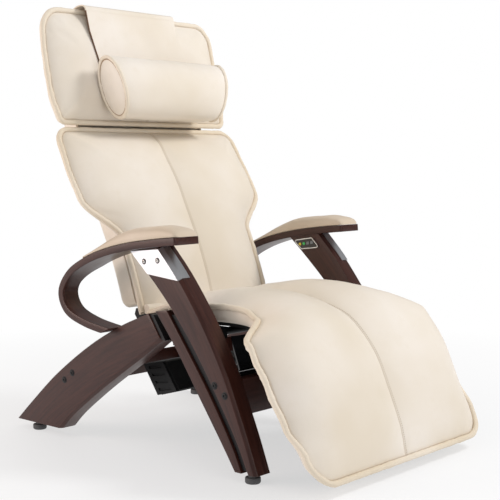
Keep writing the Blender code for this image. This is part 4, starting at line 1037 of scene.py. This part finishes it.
def strap_sheet(name, line, body, node, seed=0.0, ripple=0.0):
    """Flat leather strap across the head pad, with rounded edges and faint wrinkles; also its length."""
    half = STRAP_WIDTH / 2
    path = curve_through(line, 14)
    normal = left_normals(path)
    across = graded([0.0, 0.0003, 0.0009, 0.0018], STRAP_WIDTH, 0.006, 46) - half
    share = lengths(path) / lengths(path)[-1]
    verts = []
    for i in range(len(path)):
        row = []
        for x in across:
            lift = ripple * wobble(x * 16.0, share[i] * 2.5, seed)
            lift *= math.sin(math.pi * min(1.0, share[i] * 1.2))
            roundness = max(0.0, 1 - (half - abs(x)) / 0.0013)
            t = STRAP_THICKNESS / 2 * math.sqrt(max(0.0, 1 - roundness ** 2)) + 1e-5
            row.append((x, lift + t, lift - t))
        verts += [(strap_x(x, path[i][1]), *(path[i] + normal[i] * up)) for x, up, _ in row]
        verts += [(strap_x(x, path[i][1]), *(path[i] + normal[i] * down)) for x, _, down in row[::-1]]
    faces = tube_faces(len(path), 2 * len(across))
    thing = add_piece(name, verts, faces, PLAIN_LEATHER, body, 60.0)
    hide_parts(node)
    return thing, float(lengths(path)[-1])


def pillow_strap():
    """Strap over the top of the head pad, the flap that carries the pillow, and the strap's edge: a cream
    tube over the head, and down the flap a dark brown tube that is a painted shadow along the strap's side.
    """
    strap, length = strap_sheet("strap_over_head", STRAP_OVER_HEAD, "backrest", "head_strap")
    flap, length = strap_sheet("pillow_flap_cover", FLAP_LINE, "headrest_pillow", "pillow_flap", 4.0, 0.0016)
    for name, line, body, edge_look in (("strap_edge", STRAP_OVER_HEAD, "backrest", PIPING),
                                     ("flap_edge", FLAP_LINE[2:], "headrest_pillow", FLAP_EDGE_SHADE)):
        path = curve_through(line, 10)
        points = np.array([(strap_x(-STRAP_WIDTH / 2 - 0.0005, z), y, z) for y, z in path])
        normal = left_normals(path)
        first = np.tile([1.0, 0.0, 0.0], (len(path), 1))
        second = np.stack([np.zeros(len(path)), normal[:, 0], normal[:, 1]], -1)
        sweep(name, points, first, second, np.full(len(path), 0.0021), edge_look, body)


def bridges():
    """Leather behind the gap between back and head pads, and in the fold between seat and back."""
    low, high = np.array(BACK_SEAM[-1]), np.array(HEAD_SEAM[0])
    step = (high - low) / np.linalg.norm(high - low)
    normal = np.array([-step[1], step[0]])
    low, high = low - step * 0.03, high + step * 0.03
    near, far = normal * 0.0478, normal * 0.0489
    ring = rounded([low - near, high - near, high - far, low - far], [0.0004] * 4)
    stations = np.linspace(-0.243, 0.243, 41)
    verts = [(x, y, z + 0.0004 * wobble(x * 30, k, 0)) for x in stations for k, (y, z) in enumerate(ring)]
    panel = add_piece("pad_bridge", verts, tube_faces(len(stations), len(ring)), PLAIN_LEATHER, "backrest")
    stations = np.linspace(-0.246, 0.246, 120)
    path = np.stack([stations, np.full(120, 0.2270), np.full(120, 0.3640)], -1)
    radius = np.array([0.0125 * (1 + 0.10 * wobble(x * 26.0, 2.0, 5.0)) for x in stations])
    roll = sweep("seat_fold", path, np.tile([0.0, 1.0, 0.0], (120, 1)), np.tile([0.0, 0.0, 1.0], (120, 1)),
                 radius, PLAIN_LEATHER, "seat", around=20)


def shell():
    """Upholstered tray behind the pads, with rolled side corners."""
    line = curve_through(BACK_SEAM + HEAD_SEAM[1:4], 10)
    line = line[line[:, 1] > 0.3859]
    total = lengths(line)[-1]
    places = graded([0.0, 0.001, 0.004, 0.009, 0.016, 0.026], total, 0.04, 44)
    point = along(line, places)
    normal = left_normals(point)
    verts = []
    for i, place in enumerate(places):
        draw = float(corner_share(min(place, total - place), 0.026))
        half, deep = SHELL_HALF_WIDTH - draw * 0.30, SHELL_REAR_DEPTH - draw
        outline = rounded([(half, SHELL_FRONT_DEPTH), (half, deep), (-half, deep),
                           (-half, SHELL_FRONT_DEPTH)], [0.001, 0.030, 0.030, 0.001], 8)
        inside = rounded([(-half + 0.006, SHELL_FRONT_DEPTH), (-half + 0.006, deep - 0.006),
                          (half - 0.006, deep - 0.006), (half - 0.006, SHELL_FRONT_DEPTH)],
                         [0.001, 0.024, 0.024, 0.001], 8)
        closed = place < 0.012 or total - place < 0.012
        for index, (x, depth) in enumerate(np.vstack([outline, inside])):
            if closed and index >= len(outline):
                depth = min(depth, SHELL_FRONT_DEPTH + 0.004)
            sag = 0.0012 * wobble(x * 9.0, place * 9.0, 1.0) if index < len(outline) else 0.0
            spot = point[i] - normal[i] * (depth + sag)
            verts.append((x, spot[0], spot[1]))
    thing = add_piece("shell_cover", verts, tube_faces(len(places), len(verts) // len(places)), PLAIN_LEATHER,
                      "backrest", 50.0)
    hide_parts("back_shell")


# ------------------------------------------------------------------ CAD nodes that stay visible
def dress_nodes():
    """Detailed materials on the hard CAD nodes."""
    looks = {ALUMINIUM: "post_bracket_l post_bracket_r panel_bezel",
             RUBBER: "massage_roller_l massage_roller_r",
             STEEL: "tilt_shaft back_hinge_pin tilt_bearing_l tilt_bearing_r actuator_clevis "
                    "shaft_saddle_l shaft_saddle_r actuator_lever hinge_bracket_l hinge_bracket_r "
                    "massage_carriage rail_block_lower rail_block_upper slat_spacer_l slat_spacer_r",
             CHROME: "carriage_rail_l carriage_rail_r roller_shaft push_rod",
             PLASTIC: "power_box power_box_cover power_inlet actuator_housing actuator_motor "
                      "massage_motor seat_board",
             GLOSS: "panel_face mechanism_shroud", YELLOW: "power_button", GREEN: "massage_button",
             GREY: "recline_up_key recline_down_key"}
    for material, names in looks.items():
        for name in names.split():
            mesh = bpy.data.objects[name].data
            mesh.materials.clear()
            mesh.materials.append(material)


for side, sign in SIDES:
    side_frame(side, sign)
    screws(side, sign)
    glides(side, sign)
    armrest_cushion(side, sign)
stretchers()
under_seat_shade_panel()
bolster()
pillow_strap()
bridges()
shell()
dress_nodes()


# ------------------------------------------------------------------ camera, light and floor
def camera():
    """Camera at the three-quarter view from the front right of the chair."""
    data = bpy.data.cameras.new("camera")
    data.lens = CAMERA_LENS
    thing = link_object("camera", data)
    thing.location = CAMERA_PLACE
    thing.rotation_euler = CAMERA_TURN
    bpy.context.scene.camera = thing


def light():
    """White room that reflections see dimmer than the eye does, and three soft lamps; the key lamp lights
    without being reflected."""
    world = bpy.data.worlds.new("world")
    world.use_nodes = True
    nodes, links = world.node_tree.nodes, world.node_tree.links
    sky = nodes["Background"]
    sky.inputs["Color"].default_value = (1, 1, 1, 1)
    path = nodes.new("ShaderNodeLightPath")
    fill = remap(nodes, links, path.outputs["Is Glossy Ray"], 0.0, 1.0, STUDIO_FILL, STUDIO_REFLECTION)
    links.new(combine(nodes, links, "MAXIMUM", fill, path.outputs["Is Camera Ray"]), sky.inputs["Strength"])
    bpy.context.scene.world = world
    bpy.context.scene.view_settings.view_transform = "Standard"
    for name, size, power, place, target, colour in LIGHTS:
        lamp = bpy.data.lights.new(name, "AREA")
        lamp.shape = "SQUARE"
        lamp.size = size
        lamp.energy = power
        lamp.color = colour
        lamp_object = link_object(name, lamp)
        lamp_object.location = place
        lamp_object.visible_glossy = name != "key"
        aim = Vector(target) - Vector(place)
        lamp_object.rotation_euler = aim.to_track_quat("-Z", "Y").to_euler()


def floor():
    """Pale floor that turns to plain white away from the chair."""
    mesh = bpy.data.meshes.new("floor")
    mesh.from_pydata([(-9, -9, 0), (9, -9, 0), (9, 9, 0), (-9, 9, 0)], [], [(0, 1, 2, 3)])
    material, shader, nodes, links = new_material("pale_floor", (0.86, 0.86, 0.87), 0.6)
    where = nodes.new("ShaderNodeTexCoord")
    ring = nodes.new("ShaderNodeVectorMath")
    ring.operation = "LENGTH"
    links.new(where.outputs["Object"], ring.inputs[0])
    glow = nodes.new("ShaderNodeEmission")
    glow.inputs["Strength"].default_value = 1.0
    join = nodes.new("ShaderNodeMixShader")
    links.new(remap(nodes, links, ring.outputs["Value"], 0.5, 2.1, 0.58, 1.0), join.inputs["Fac"])
    links.new(shader.outputs["BSDF"], join.inputs[1])
    links.new(glow.outputs["Emission"], join.inputs[2])
    links.new(join.outputs["Shader"], nodes["Material Output"].inputs["Surface"])
    mesh.materials.append(material)
    link_object("floor", mesh)


camera()
light()
floor()
